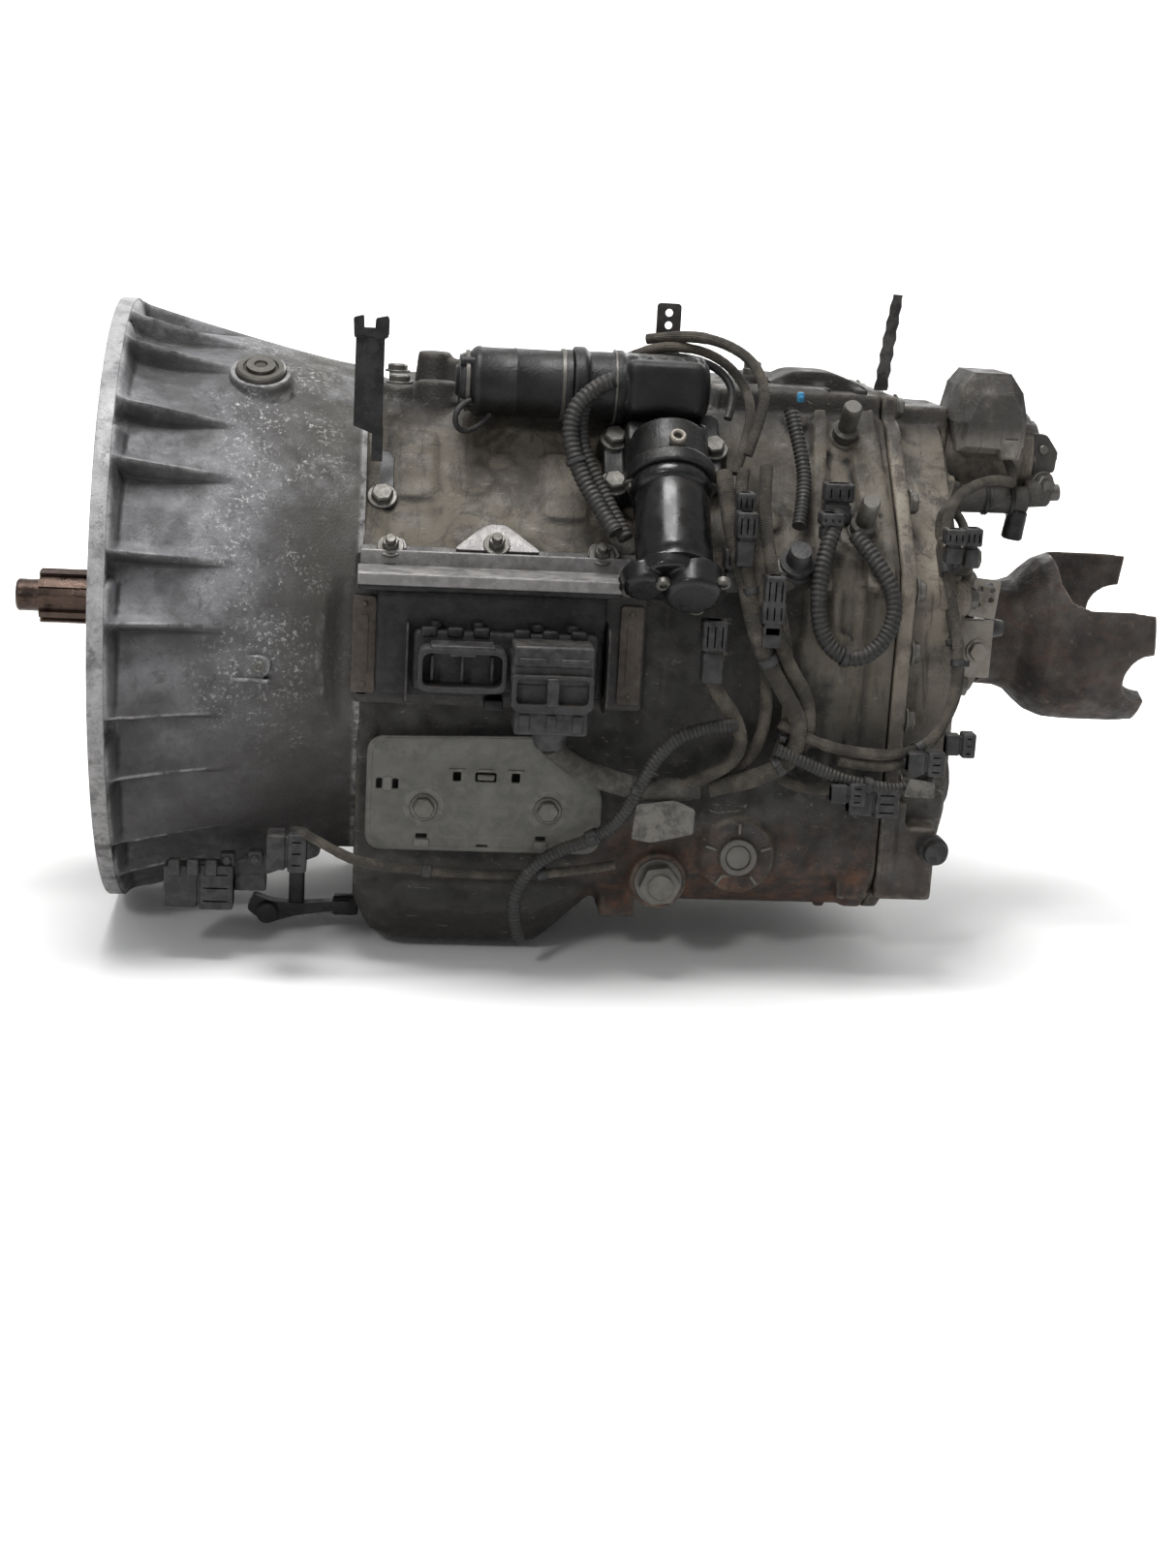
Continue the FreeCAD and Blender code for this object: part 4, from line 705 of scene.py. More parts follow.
CONDUIT = black_finish("conduit_plastic", (32, 31, 30), (82, 77, 70), 0.55, 0.0, 0.6)
BRACKET = black_finish("bracket_steel", (40, 38, 37), (110, 106, 100), 0.42, 0.0, 0.5, metallic=0.2)
SIDE_PLATE = black_finish("bracket_side_steel", (54, 47, 41), (82, 73, 64), 0.55, 0.0, 0.45)
SHIELD = black_finish("shield_steel", (76, 75, 71), (104, 102, 96), 0.5, 0.0, 0.45, metallic=0.1)
ZINC = steel_finish("zinc_steel", (112, 108, 101), (74, 64, 52), 0.45, 0.7, 0.5)
DARK_BOLT = steel_finish("dark_bolt_steel", (82, 80, 76), (46, 41, 36), 0.45, 0.65, 0.6)
INPUT_STEEL = steel_finish("input_steel", (74, 61, 54), (26, 18, 16), 0.34, 0.85, 0.85)
GEAR_STEEL = steel_finish("gear_steel", (150, 150, 152), (104, 98, 88), 0.3, 0.4, 0.95)
LINKAGE_STEEL = steel_finish("linkage_steel", (120, 117, 112), (80, 70, 60), 0.42, 0.6, 0.8)
YOKE = forging_finish()
SLEEVE = woven_finish("harness_sleeve", (66, 61, 54), (98, 91, 80))
DARK_SLEEVE = woven_finish("harness_dark_sleeve", (68, 65, 60), (104, 100, 93))
FOIL = tape_finish("blank_foil", (98, 95, 90), 0.45, 0.3)
CLIP_BLUE = black_finish("clip_blue", (30, 100, 136), (84, 104, 112), 0.5, 0.0, 0.4)

# ---------------------------------------------------------------- clutch housing


def stepped(value, low, high):
    """Smooth 0 to 1 step for arrays."""
    t = np.clip((value - low) / (high - low), 0, 1)
    return t * t * (3 - 2 * t)


def pocket_share(angle):
    """How full a pocket is, 0 at its floor to 1 at a rib's crest, and how far across it the angle lies."""
    period = np.mod(angle - FIRST_RIB, WIDE_POCKET + NARROW_POCKET)
    wide = period < WIDE_POCKET
    across = np.where(wide, period / WIDE_POCKET, (period - WIDE_POCKET) / NARROW_POCKET)
    marks = [0, 0.03, 0.09, 0.3, 0.45, 0.7, 0.86, 0.96, 1.0]
    wide_share = np.interp(across, marks, [1, 0.85, 0.0, 0.1, 0.3, 0.5, 0.62, 0.84, 1.0])
    narrow_share = np.interp(across, marks, [1, 0.85, 0.0, 0.0, 0.03, 0.22, 0.5, 0.82, 1.0])
    return np.where(wide, wide_share, narrow_share), across


def bell_surface(x, angle):
    """Outer radius of the bell at a station and an angle in degrees from +Z towards -Y."""
    crest = BELL_BACK_RADIUS + BELL_FLARE * np.clip((212 - x) / 198, 0, 1) ** 1.2
    depth = POCKET_DEPTH * (1 - stepped(x, 36, 130))
    share, _ = pocket_share(angle)
    radius = crest - depth * stepped(x, 15, 24) * (1 - share)
    from_bolt = np.mod(angle, 30) - 15
    seat = np.exp(-(from_bolt / 2.4) ** 4) * (1 - stepped(x, 26, 38))
    return radius * (1 - seat) + np.minimum(radius, BOLT_SEAT_RADIUS) * seat


def bell_pocket_shade(x, angle):
    """Painted shade in the pockets, 0 to 1: under each rib and in the corner at the flange."""
    share, across = pocket_share(angle)
    fade = 1 - stepped(x, 60, 132)
    under_rib = np.exp(-((across - 0.08) / 0.16) ** 2) * fade
    corner = (1 - share) * (1 - stepped(x, 18, 60)) * np.exp(-((across - 0.1) / 0.4) ** 2)
    return np.clip(0.8 * under_rib + 0.7 * corner, 0, 1)


def far_boss(x, angle, radius):
    """Raise the release shaft's boss on the far side."""
    height = radius * np.cos(np.radians(angle))
    far = radius * np.sin(-np.radians(angle)) > 0
    distance = np.hypot(x - 150, height + 75)
    lift = (1 - stepped(distance, 24, 33)) * far
    flat = 234 / np.maximum(np.abs(np.sin(np.radians(angle))), 0.3)
    return np.where(far, radius + lift * np.maximum(flat - radius, 0), radius)


def clutch_housing():
    """Bell: a flange ring with its bolt holes and a turned shell with cast pockets."""
    bm = bmesh.new()
    # a layer on the shell's points that carries painted shade for the pockets
    grime_and_shade = bm.verts.layers.float.new("grime_and_shade")
    steps = 1200
    turns = [math.radians(15 + 30 * k) for k in range(12)]
    holes = [circle(BOLT_HOLE_RADIUS, BOLT_CIRCLE_RADIUS * math.sin(turn),
                    BOLT_CIRCLE_RADIUS * math.cos(turn), 20) for turn in turns]
    rims = [circle(FLANGE_RADIUS - 0.4, steps=360), circle(255.9, steps=360)]
    plate(bm, [*rims, *holes], along_shaft(0), 14, 0.8)
    stations = np.concatenate([[9.0], np.linspace(13.5, 40, 18), np.linspace(43, 135, 32),
                               np.linspace(140, 212, 16), [216, 220, 225]])
    angles = np.arange(steps) * 360 / steps
    grid_x, grid_angle = np.meshgrid(stations, angles, indexing="ij")
    radius = bell_surface(grid_x, grid_angle)
    radius = sum(share * np.roll(radius, shift, axis=1) for share,
                 shift in ((0.25, -1), (0.5, 0), (0.25, 1)))
    radius = far_boss(grid_x, grid_angle, radius)
    # painted shade for the pockets, under each rib and in the corner at the flange
    pocket_shade = bell_pocket_shade(grid_x, grid_angle)
    y = -radius * np.sin(np.radians(grid_angle))
    z = radius * np.cos(np.radians(grid_angle))
    side_limit = -217 - 60 * (1 - stepped(grid_x, 150, 208))
    beside_bracket = stepped(z, -205, -180) * (1 - stepped(z, 85, 110))
    y = y + np.maximum(side_limit - y, 0) * beside_bracket
    rings = []
    for i in range(len(stations)):
        outer = [bm.verts.new((grid_x[i, j], y[i, j], z[i, j])) for j in range(steps)]
        for vert, amount in zip(outer, pocket_shade[i]):
            vert[grime_and_shade] = amount
        rings.append(outer)
    inner = [(225, 80.5), (205, 80.5), (205, 208), (198, 214), (130, 233), (9, 246.5)]
    for x, r in inner:
        rings.append([bm.verts.new((x, -r * math.sin(a), r * math.cos(a))) for a in np.radians(angles)])
    rings.append(rings[0])
    for lower, upper in zip(rings, rings[1:]):
        band_of_faces(bm, lower, upper)
    finished("clutch_housing_shell", bm, BELL, "bell_aluminium", ["clutch_housing"], smooth=60)


def inspection_opening():
    """Stepped boss, gasket rim and round cap of the bell's inspection opening."""
    tilt = math.radians(27)
    axis = Vector((0, -math.sin(tilt), math.cos(tilt)))
    place = at(Vector((131, 0, 0)) + axis * 232, axis)
    bm = bmesh.new()
    lathe(bm, [(0, 0), (33, 0), (31, 8), (27.5, 15), (26.5, 19), (26, 20.5), (22.5, 20.5), (22, 18.5),
               (0, 18.5)], place)
    finished("inspection_boss", bm, BELL, "bell_aluminium")
    bm = bmesh.new()
    lathe(bm, [(0, 19), (21.5, 19), (21.5, 24), (20, 25.5), (15.5, 25.5), (14.5, 24), (13, 24),
               (12.5, 27.5), (6, 28), (5, 26), (0, 26)], place)
    finished("inspection_cap", bm, DARK_BOLT, "zinc_steel")


def bell_tab():
    """Oval pad with a tapped insert on the bell's near side."""
    tilt = on_side(129, -11, -240.6) @ Matrix.Rotation(math.radians(-12), 4, "Y")
    bm = bmesh.new()
    outline = rounded([(-20, -9), (14, -10), (21, -3), (21, 5), (14, 10), (-20, 9)], 7)
    bar(bm, outline, tilt @ Matrix.Translation((0, 0, -10)), 13)
    bar(bm, rounded([(-18, -13), (20, -13), (20, -10), (-18, -10)], 2),
        tilt @ Matrix.Translation((0, 0, -10)), 16)
    cast("bell_side_pad", bm, BELL, "bell_aluminium", 0.9, 3)
    bm = bmesh.new()
    ring(bm, tilt @ Matrix.Translation((12, 0, 2.6)), 2.6, 5, 1.6)
    finished("bell_pad_insert", bm, DARK_BOLT, "zinc_steel")


# ---------------------------------------------------------------- castings

CASE_OUTLINE = [(-215, -190), (-215, 84.8), (-94.8, 205), (150, 205), (215, 150), (215, -150), (150, -232),
                (-165, -232)]
HOUSING_OUTLINE = [(-192, -150), (-192, 66), (-58, 200), (138, 200), (192, 146), (192, -130), (130, -196),
                   (-140, -196)]
SEAM_BOLTS = [(-209, -104), (-209, -44), (-209, 16), (-209, 70), (-152, 139.3), (-64, 216), (20, 216),
              (104, 216), (209, 120), (209, 50), (209, -20), (209, -90), (140, -226), (50, -226),
              (-40, -226), (-120, -226)]
CASE_VOXEL = 2.7


def grown(outline, amount):
    """An outline pushed outward from the shaft line by about an amount."""
    return [(y + math.copysign(amount, y), z + math.copysign(amount, z)) for y, z in outline]


def rib(bm, start, end, width, height, place):
    """A straight rib on a frame's surface, from one local point to another."""
    start, end = Vector(start), Vector(end)
    along = (end - start).normalized()
    side = Vector((-along.y, along.x)) * width / 2
    outline = [start - side, end - side, end + side, start + side]
    bar(bm, outline, place @ Matrix.Translation((0, 0, -3)), height + 3)


def case_casting():
    """Main case: rounded body, sump, end flanges, bosses, pads and ribs."""
    bm = bmesh.new()
    length = CASE_BACK - CASE_FRONT
    bar(bm, rounded(CASE_OUTLINE, 16), along_shaft(CASE_FRONT - 1), length)
    bar(bm, rounded(grown(CASE_OUTLINE, 2.4), 16), along_shaft(CASE_FRONT - 1), 15)
    bar(bm, rounded(grown(CASE_OUTLINE, 2.4), 16), along_shaft(CASE_BACK - 17), 16)
    sump = [(226, -185), (226, -246), (240, -276), (262, -284.6), (392, -284.6), (404, -272), (438, -238),
            (446, -185)]
    middle = [(226, -185), (226, -240), (240, -264), (262, -272), (390, -272), (402, -262), (436, -230),
              (446, -185)]
    near = [(226, -185), (226, -214), (240, -232), (262, -238), (386, -238), (398, -232), (430, -214),
            (446, -185)]
    bar(bm, sump, on_side(0, 0, 140), 261)
    tapered(bm, sump, middle, on_side(0, 0, -120), 45)
    tapered(bm, middle, near, on_side(0, 0, -164), 26)
    bar(bm, rounded([(256, -284.8), (394, -284.8), (398, -278), (252, -278)], 2), on_side(0, 0, 144), 268)
    block(bm, (446, -186, -242), (478, -140, -205), 0)
    block(bm, (540, -80, 195), (CASE_BACK - 1, 120, 227), 0)
    block(bm, (560, -74, 195), (640, 60, 231), 0)
    for x, z, radius, reach in ((SMALL_PLUG_X, SMALL_PLUG_Z, 25, 230),
                                (LARGE_PLUG_X, LARGE_PLUG_Z, 33, 221.5)):
        lathe(bm, [(0, 0), (radius + 4, 0), (radius, reach - 205), (0, reach - 205)], on_side(x, z, -205))
    block(bm, (CASE_BACK - 34, -214, -211), (CASE_BACK - 6, -134, -142), 0)
    block(bm, (CASE_BACK - 8, -206, -208), (CASE_BACK - 1, -134, -142), 0)
    shoulder_features(bm)
    side_features(bm)
    cast("main_case_casting", bm, CASE, "case_casting", CASE_VOXEL, 4, ["main_case"])


def shoulder_features(bm):
    """Pads, bosses and ribs on the sloping shoulder and along the top edge."""
    ground = on_shoulder(0, 0)
    bar(bm, rounded([(250, -33), (284, -33), (284, 40), (250, 40)], 8), on_shoulder(0, 0, -4), 7.5)
    bar(bm, rounded([(379, -50), (416, -50), (416, 22), (379, 22)], 8), on_shoulder(0, 0, -4), 8)
    for x, u, radius, height in ((318, -10, 16, 3), (342, 12, 9, 2.5), (246, 64, 9, 3), (247, -92, 14, 4),
                                 (337, -88, 14, 4), (427, -88, 14, 4), (573, -42, 12, 5), (607, 72, 10, 6),
                                 (583, -95, 16, 3), (650, 54, 21, 4), (657, -50, 21, 5), (444, -66, 20, 4),
                                 (356, 60, 12, 3), (618, 14, 15, 3), (600, -20, 11, 3)):
        lathe(bm, [(0, -5), (radius + 3, -5), (radius, height), (0, height)], on_shoulder(x, u))
    rib(bm, (300, 78), (380, 74), 7, 5, ground)
    for x, lean, width, height in ((630, -12, 12, 8), (660, 6, 16, 9), (674, 8, 9, 10)):
        rib(bm, (x, 84), (x + lean * 0.4, 20), width, height, ground)
        rib(bm, (x + lean * 0.4, 20), (x + lean, -40), width * 0.9, height * 0.9, ground)
        rib(bm, (x + lean, -40), (x + lean * 0.6, -112), width * 0.8, height * 0.7, ground)
    for x, y, radius, top in ((285, -84, 17, 222), (330, -88, 15, 226), (252, -80, 14, 217),
                              (300, 150, 20, 214), (470, 120, 22, 216), (600, 96, 24, 232),
                              (284, -30, 15, 244), (306, -34, 11, 238)):
        lathe(bm, [(0, 0), (radius + 5, 0), (radius, top - 195), (0, top - 195)],
              Matrix.Translation((x, y, 195)))


def side_features(bm):
    """Steps and ribs on both flat sides and under the case."""
    near = on_side(0, 0, CASE_SIDE_Y)
    bar(bm, rounded([(486, -190), (486, 70), (556, 78), (592, 40), (592, -120), (560, -190)], 12),
        near @ Matrix.Translation((0, 0, -4)), 7)
    bar(bm, rounded([(604, -70), (604, 30), (650, 30), (650, -70)], 14),
        near @ Matrix.Translation((0, 0, -4)), 10)
    for x in (612, 634, 656):
        rib(bm, (x, 70), (x + 2, -118), 7, 5, near)
    far = Matrix(((-1, 0, 0, 0), (0, 0, 1, 215), (0, 1, 0, 0), (0, 0, 0, 1)))
    for x in (262, 450, 500, 560, 620, 660):
        rib(bm, (-x, -140), (-x, 138), 8, 7, far)
    rib(bm, (-240, 60), (-670, 60), 8, 5, far)
    bar(bm, rounded([(-430, -165), (-430, -5), (-280, -5), (-280, -165)], 16),
        far @ Matrix.Translation((0, 0, -4)), 5)
    for x in (470, 650):
        block(bm, (x, -150, -238), (x + 9, 140, -228), 0)
    block(bm, (490, -20, -233.5), (650, 130, -226), 0)


def housing_casting():
    """Rear housing: bolted flange with lugs, ribbed body, foot and valve pad."""
    bm = bmesh.new()
    bar(bm, rounded(grown(CASE_OUTLINE, 2), 16), along_shaft(CASE_BACK + 0.5), 13.5)
    block(bm, (CASE_BACK + 0.5, -80, 195), (CASE_BACK + 14, 120, 227.5), 0)
    depth = HOUSING_HIGH.x - CASE_BACK
    bar(bm, rounded(HOUSING_OUTLINE, 24), along_shaft(CASE_BACK + 2), depth - 12)
    shrunk = [(0.95 * y, 0.95 * z) for y, z in HOUSING_OUTLINE]
    bar(bm, rounded(shrunk, 24), along_shaft(CASE_BACK + 2), depth - 8)
    for y, z in SEAM_BOLTS:
        inward = Vector((y, z)).normalized() * 5
        rod(bm, (CASE_BACK + 2, y - inward.x, z - inward.y), (CASE_BACK + 15.2, y - inward.x, z - inward.y),
            15, bevel=0.5)
    for angle in range(0, 360, 30):
        spoke = Matrix.Rotation(math.radians(angle), 4, "X")
        block(bm, (CASE_BACK + 10, -4.5, 92), (HOUSING_HIGH.x - 0.6, 4.5, 182), 0, spoke)
    block(bm, (CASE_BACK + 1, -213, -211), (CASE_BACK + 53, -135, -143), 0)
    block(bm, (CASE_BACK + 18, -213.5, -205), (CASE_BACK + 24, -130, -120), 0)
    block(bm, (CASE_BACK + 22, -45, 180), (HOUSING_HIGH.x - 0.5, 45, 216.5), 0)
    lathe(bm, [(0, 0), (96, 0), (95, 3.5), (0, 3.5)], at((HOUSING_HIGH.x - 4, 0, 0), (1, 0, 0)))
    near_lugs = [(HOUSING_HIGH.x - 30, -150, 30, 26), (HOUSING_HIGH.x - 26, -150, -112, 24)]
    for x, y, z, radius in near_lugs:
        rod(bm, (x, y, z), (HOUSING_HIGH.x - 0.6, y, z), radius, bevel=0.5)
    cast("rear_housing_casting", bm, REAR_CASE, "rear_casting", 2.4, 5, ["rear_housing"])


def other_castings():
    """Cast covers whose CAD shape is kept, with its edges rounded."""
    for node, finish, material_slot, voxel, rounding in (
            ("shift_rail_housing", CASE, "case_casting", 2.0, 3),
            ("output_bearing_cover", REAR_CASE, "rear_casting", 1.5, 3),
            ("pto_covers", ZINC, "zinc_steel", 1.6, 2)):
        bm = bmesh.new()
        cad_copy(bm, node)
        cast(node + "_casting", bm, finish, material_slot, voxel, rounding, [node])


def top_ridge():
    """Cast ridge, lugs and breather along the top behind the shifter."""
    bm = bmesh.new()
    bar(bm, rounded([(-66, 200), (-58, 218), (40, 218), (60, 200)], 8), along_shaft(545), 143)
    profile = [(560, 200), (560, 226), (592, 232), (612, 243), (652, 243), (686, 230), (688, 200)]
    bar(bm, rounded(profile, 8), on_side(0, 0, 20), 60)
    for x in (560, 596, 634, 668):
        block(bm, (x, -72, 200), (x + 10, 50, 231), 0)
    rod(bm, (575, -40, 210), (575, -40, 238), 15)
    cast("top_ridge_casting", bm, TOP_CASE, "case_casting", 1.8, 4)
    bm = bmesh.new()
    rod(bm, (575, -40, 237), (575, -40, 244), 9)
    hex_head(bm, Matrix.Translation((575, -40, 244)), 8, 6, 0)
    finished("breather", bm, DARK_BOLT, "zinc_steel")


# ---------------------------------------------------------------- shifter

SLOPE = Vector((0, -1, -1)).normalized()


def down_slope(x, start, height=40.0):
    """The point on the select motor's line, a distance down from the top of the shoulder."""
    return Vector((x, -0.70711 * (SHOULDER_DISTANCE + height + start),
                   0.70711 * (SHOULDER_DISTANCE + height - start)))


def actuator():
    """Shifter gearbox: barrel along the shaft, neck down the slope, flanges, webs and lugs."""
    bm = bmesh.new()
    rod(bm, (401, RAIL_MOTOR_Y, RAIL_MOTOR_Z), (516, RAIL_MOTOR_Y, RAIL_MOTOR_Z), 30.5)
    rod(bm, (401, RAIL_MOTOR_Y, RAIL_MOTOR_Z), (413, RAIL_MOTOR_Y, RAIL_MOTOR_Z), 34)
    rod(bm, (438, RAIL_MOTOR_Y, RAIL_MOTOR_Z), (446, RAIL_MOTOR_Y, RAIL_MOTOR_Z), 32.5)
    block(bm, (446, -166, 206), (516, -104, 254), 9)
    rod(bm, (500, -132, 229), (521, -132, 229), 29, 25, bevel=4)
    rod(bm, down_slope(SELECT_X, -12), down_slope(SELECT_X, 36), 33)
    block(bm, (-36, -34, 0), (36, 34, 36), 4, on_shoulder(SELECT_X, 0, 4))
    rod(bm, down_slope(SELECT_X, 24), down_slope(SELECT_X, 38), 39.5)
    place = on_shoulder(0, 0)
    for x, u in ((440, 26), (527, 20), (438, -24)):
        lathe(bm, [(0, 0), (15, 0), (13, 22), (0, 22)], on_shoulder(x, u))
    bar(bm, rounded([(430, -18), (534, -18), (534, 60), (446, 66), (430, 40)], 8), place, 20)
    top = rounded([(414, -108), (516, -108), (516, -34), (470, -30), (414, -44)], 8)
    bar(bm, top, Matrix.Translation((0, 0, 226)), 11)
    block(bm, (416, -44, 217.5), (514, -31, 232), 0)
    rib(bm, (470, -24), (470, 30), 6, 38, place)
    rib(bm, (506, -24), (506, 30), 6, 34, place)
    for k in range(5):
        block(bm, (452 + 13 * k, -150, 252), (456 + 13 * k, -110, 257), 0)
    cast("actuator_casting", bm, SATIN_BLACK, "shifter_black", 1.6, 3, ["actuator_housing"])
    bm = bmesh.new()
    for x, u, lift in ((440, 26, 22), (527, 20, 22), (438, -24, 22)):
        hex_head(bm, on_shoulder(x, u, lift, 12), 9.5, 8.5, 13)
    for x, y in ((424, -92), (500, -92), (424, -52), (504, -52)):
        hex_head(bm, Matrix.Translation((x, y, 237)) @ Matrix.Rotation(0.3, 4, "Z"), 8.5, 7, 11.5)
    for x, u in ((452, -34), (516, -34)):
        hex_head(bm, at(down_slope(x, 38), SLOPE, 10), 7, 6.5, 9)
    finished("actuator_bolts", bm, DARK_BOLT, "zinc_steel")
    bm = bmesh.new()
    ring(bm, on_shoulder(SELECT_X + 2, -16, 76), 3.4, 7.2, 7, 1.2)
    finished("actuator_dowel", bm, ZINC, "zinc_steel")


def rail_motor():
    """Rail select motor: satin can with bead rings, crimps and end cover."""
    bm = bmesh.new()
    axis = at((299, RAIL_MOTOR_Y, RAIL_MOTOR_Z), (1, 0, 0))
    lathe(bm, [(0, 0.5), (12, 0.5), (14, 3), (22, 4), (24, 7), (24, 12), (28, 15), (30, 18), (30.5, 21),
               (29.6, 23), (29.6, 50), (30, 51), (30, 53), (29.6, 54), (29.6, 92), (30.9, 94), (30.9, 101),
               (29, 101.6), (0, 101.6)], axis, 72)
    for y, z in round_spots(4, 25, 45):
        start = (303, RAIL_MOTOR_Y + y, RAIL_MOTOR_Z + z)
        rod(bm, start, (318, *start[1:]), 4, steps=16)
    finished("rail_motor_can", bm, SATIN_BLACK, "shifter_black", ["rail_motor"])
    bm = bmesh.new()
    ring(bm, at((308, RAIL_MOTOR_Y, RAIL_MOTOR_Z), (1, 0, 0)), 21, 26.5, 4, 1)
    ring(bm, at((391, RAIL_MOTOR_Y, RAIL_MOTOR_Z), (1, 0, 0)), 29, 31.6, 4, 1)
    ring(bm, at((437, RAIL_MOTOR_Y, RAIL_MOTOR_Z), (1, 0, 0)), 29, 32.9, 2.4, 0.8)
    finished("rail_motor_bands", bm, DARK_BOLT, "linkage_steel")


def select_motor():
    """Gear select motor: glossy drawn can, rolled rims and a two-lobed end cover."""
    bm = bmesh.new()
    axis = at(down_slope(SELECT_X, 38.5), SLOPE)
    lathe(bm, [(0, 0), (34.5, 0), (35.5, 2), (35.5, 9), (34, 11), (31.6, 13), (32.4, 18), (32.6, 24),
               (32.6, 80), (32, 84), (31, 87), (31, 91.5), (0, 91.5)], axis, 96)
    finished("select_motor_can", bm, GLOSS_BLACK, "motor_gloss_black", ["select_motor"], smooth=50)
    bm = bmesh.new()
    for x, radius, length in ((458, 20, 20), (498, 26, 27)):
        rod(bm, down_slope(x, 128), down_slope(x, 128 + length), radius, radius - 2, bevel=3)
    rod(bm, down_slope(478, 126), down_slope(478, 140), 30, 28, bevel=2)
    rod(bm, down_slope(505, 128, 14), down_slope(505, 146, 14), 9, bevel=1.5)
    rod(bm, down_slope(446, 128, 30), down_slope(446, 142, 30), 9, bevel=1.5)
    cast("select_motor_end_cover", bm, GLOSS_BLACK, "shifter_black", 1.2, 3)
    bm = bmesh.new()
    for x, start, height in ((472, 147.5, 50), (505, 146, 14), (522, 146, 52), (446, 141.5, 30)):
        place = at(down_slope(x, start, height), SLOPE)
        lathe(bm, [(0, -2), (6.4, -2), (6.4, 2.4), (5.6, 3.2), (3.4, 3.2), (3.2, 1.2), (0, 1.2)], place, 24)
    finished("select_motor_screws", bm, DARK_BOLT, "linkage_steel")


# ---------------------------------------------------------------- controller


def controller_bracket():
    """Folded sheet bracket: back plate, dusty top lip, bent ears and the middle tab."""
    bm = bmesh.new()
    back = on_side(0, 0, -218.2)
    edge = rounded([(218, -43), (468, -43), (468, 66), (455, 86), (218, 86)], 5)
    plate(bm, [edge, slot(8, 4, 226, -34), slot(8, 4, 460, -34)], back, 3)
    plate(bm, [rounded([(222, -98), (466, -98), (466, -86), (222, -86)], 3)], on_shoulder(0, 0, 1.5), 3)
    block(bm, (222, -225.5, 82.5), (466, -216, 86.5), 1.2)
    block(bm, (222, -225.5, 74), (466, -222, 86.5), 1.2)
    finished("controller_bracket_sheet", bm, BRACKET, "bracket_steel", ["controller_bracket"])
    bm = bmesh.new()
    for x in (262, 432):
        blade = rounded([(-267, -31), (-250, -40), (-220, -40), (-220, 36), (-262, 36), (-267, 30)], 5)
        plate(bm, [blade], along_shaft(x), 2.2, 0.5)
    finished("controller_blades", bm, BRACKET, "bracket_steel")
    bm = bmesh.new()
    tab = rounded([(300, -90), (376, -90), (352, -68), (345, -62), (331, -62), (322, -68)], 6)
    plate(bm, [tab], on_shoulder(0, 0, 4.6), 3)
    plate(bm, [rounded([(236, -92), (262, -92), (258, -80), (240, -80)], 5)], on_shoulder(0, 0, 4.6), 3)
    plate(bm, [rounded([(414, -92), (444, -92), (438, -78), (418, -78)], 5)], on_shoulder(0, 0, 4.6), 3)
    block(bm, (220, -268, 74.2), (443, -224, 77.4), 1.2)
    block(bm, (220, -271, 67), (443, -267.8, 77), 1.2)
    block(bm, (222, -226, 70), (452, -221, 90), 1.5)
    finished("controller_lip", bm, LIP, "bracket_steel")
    bm = bmesh.new()
    for x, u in ((247, -90), (337, -84), (427, -90)):
        nut_on_stud(bm, on_shoulder(x, u, 7.6, 15), 7.2, 13)
    finished("bracket_nuts", bm, DARK_BOLT, "zinc_steel")


def controller():
    """Controller box with its ribbed front, two-way socket and blank plates."""
    bm = bmesh.new()
    block(bm, (221, -264, 61), (441, -222, 74), 3)
    block(bm, (237, -252, -29), (431, -222, 62), 4)
    block(bm, (268, -266, -22), (424, -250, 30), 4)
    for x in (274, 296, 318, 352, 376, 400):
        block(bm, (x, -268, 24), (x + 14, -256, 33), 2.5)
    for x in (286, 322, 372, 402):
        rod(bm, (x, -258, 30), (x, -258, 37), 6, bevel=1.5, steps=24)
    block(bm, (330, -262, -38), (346, -226, -29), 1.5)
    finished("controller_case", bm, CONTROLLER_BLACK, "controller_black", ["controller"])
    bm = bmesh.new()
    shell = [slot(74, 37, 309, 1, 9), slot(66, 28, 309, 1, 7)]
    plate(bm, shell, on_side(0, 0, -266), 25.5, 1)
    plate(bm, [slot(68, 30, 309, 1, 6)], on_side(0, 0, -262), 6, 0.5)
    for x in (284, 309, 334):
        block(bm, (x - 1.2, -282, -9), (x + 1.2, -270, 12), 0.4)
    block(bm, (298, -290, 12.5), (320, -266, 18.8), 1.5)
    block(bm, (282, -291, 18), (336, -262, 22), 1.5)
    finished("controller_socket", bm, PLASTIC, "connector_plastic")
    bm = bmesh.new()
    for x, z, height in ((227, 8, 84), (456, 6, 86)):
        plate(bm, [slot(20, height, x, z, 3)], on_side(0, 0, -222), 3, 0.5)
        plate(bm, [slot(7, height * 0.62, x, z, 1)], on_side(0, 0, -225), 0.9, 0.2)
        for end in (-1, 1):
            rivet = z + end * (height / 2 - 7)
            rod(bm, (x, -224, rivet), (x, -226.6, rivet), 2.6, bevel=0.6, steps=20)
    finished("controller_side_plates", bm, SIDE_PLATE, "bracket_steel")


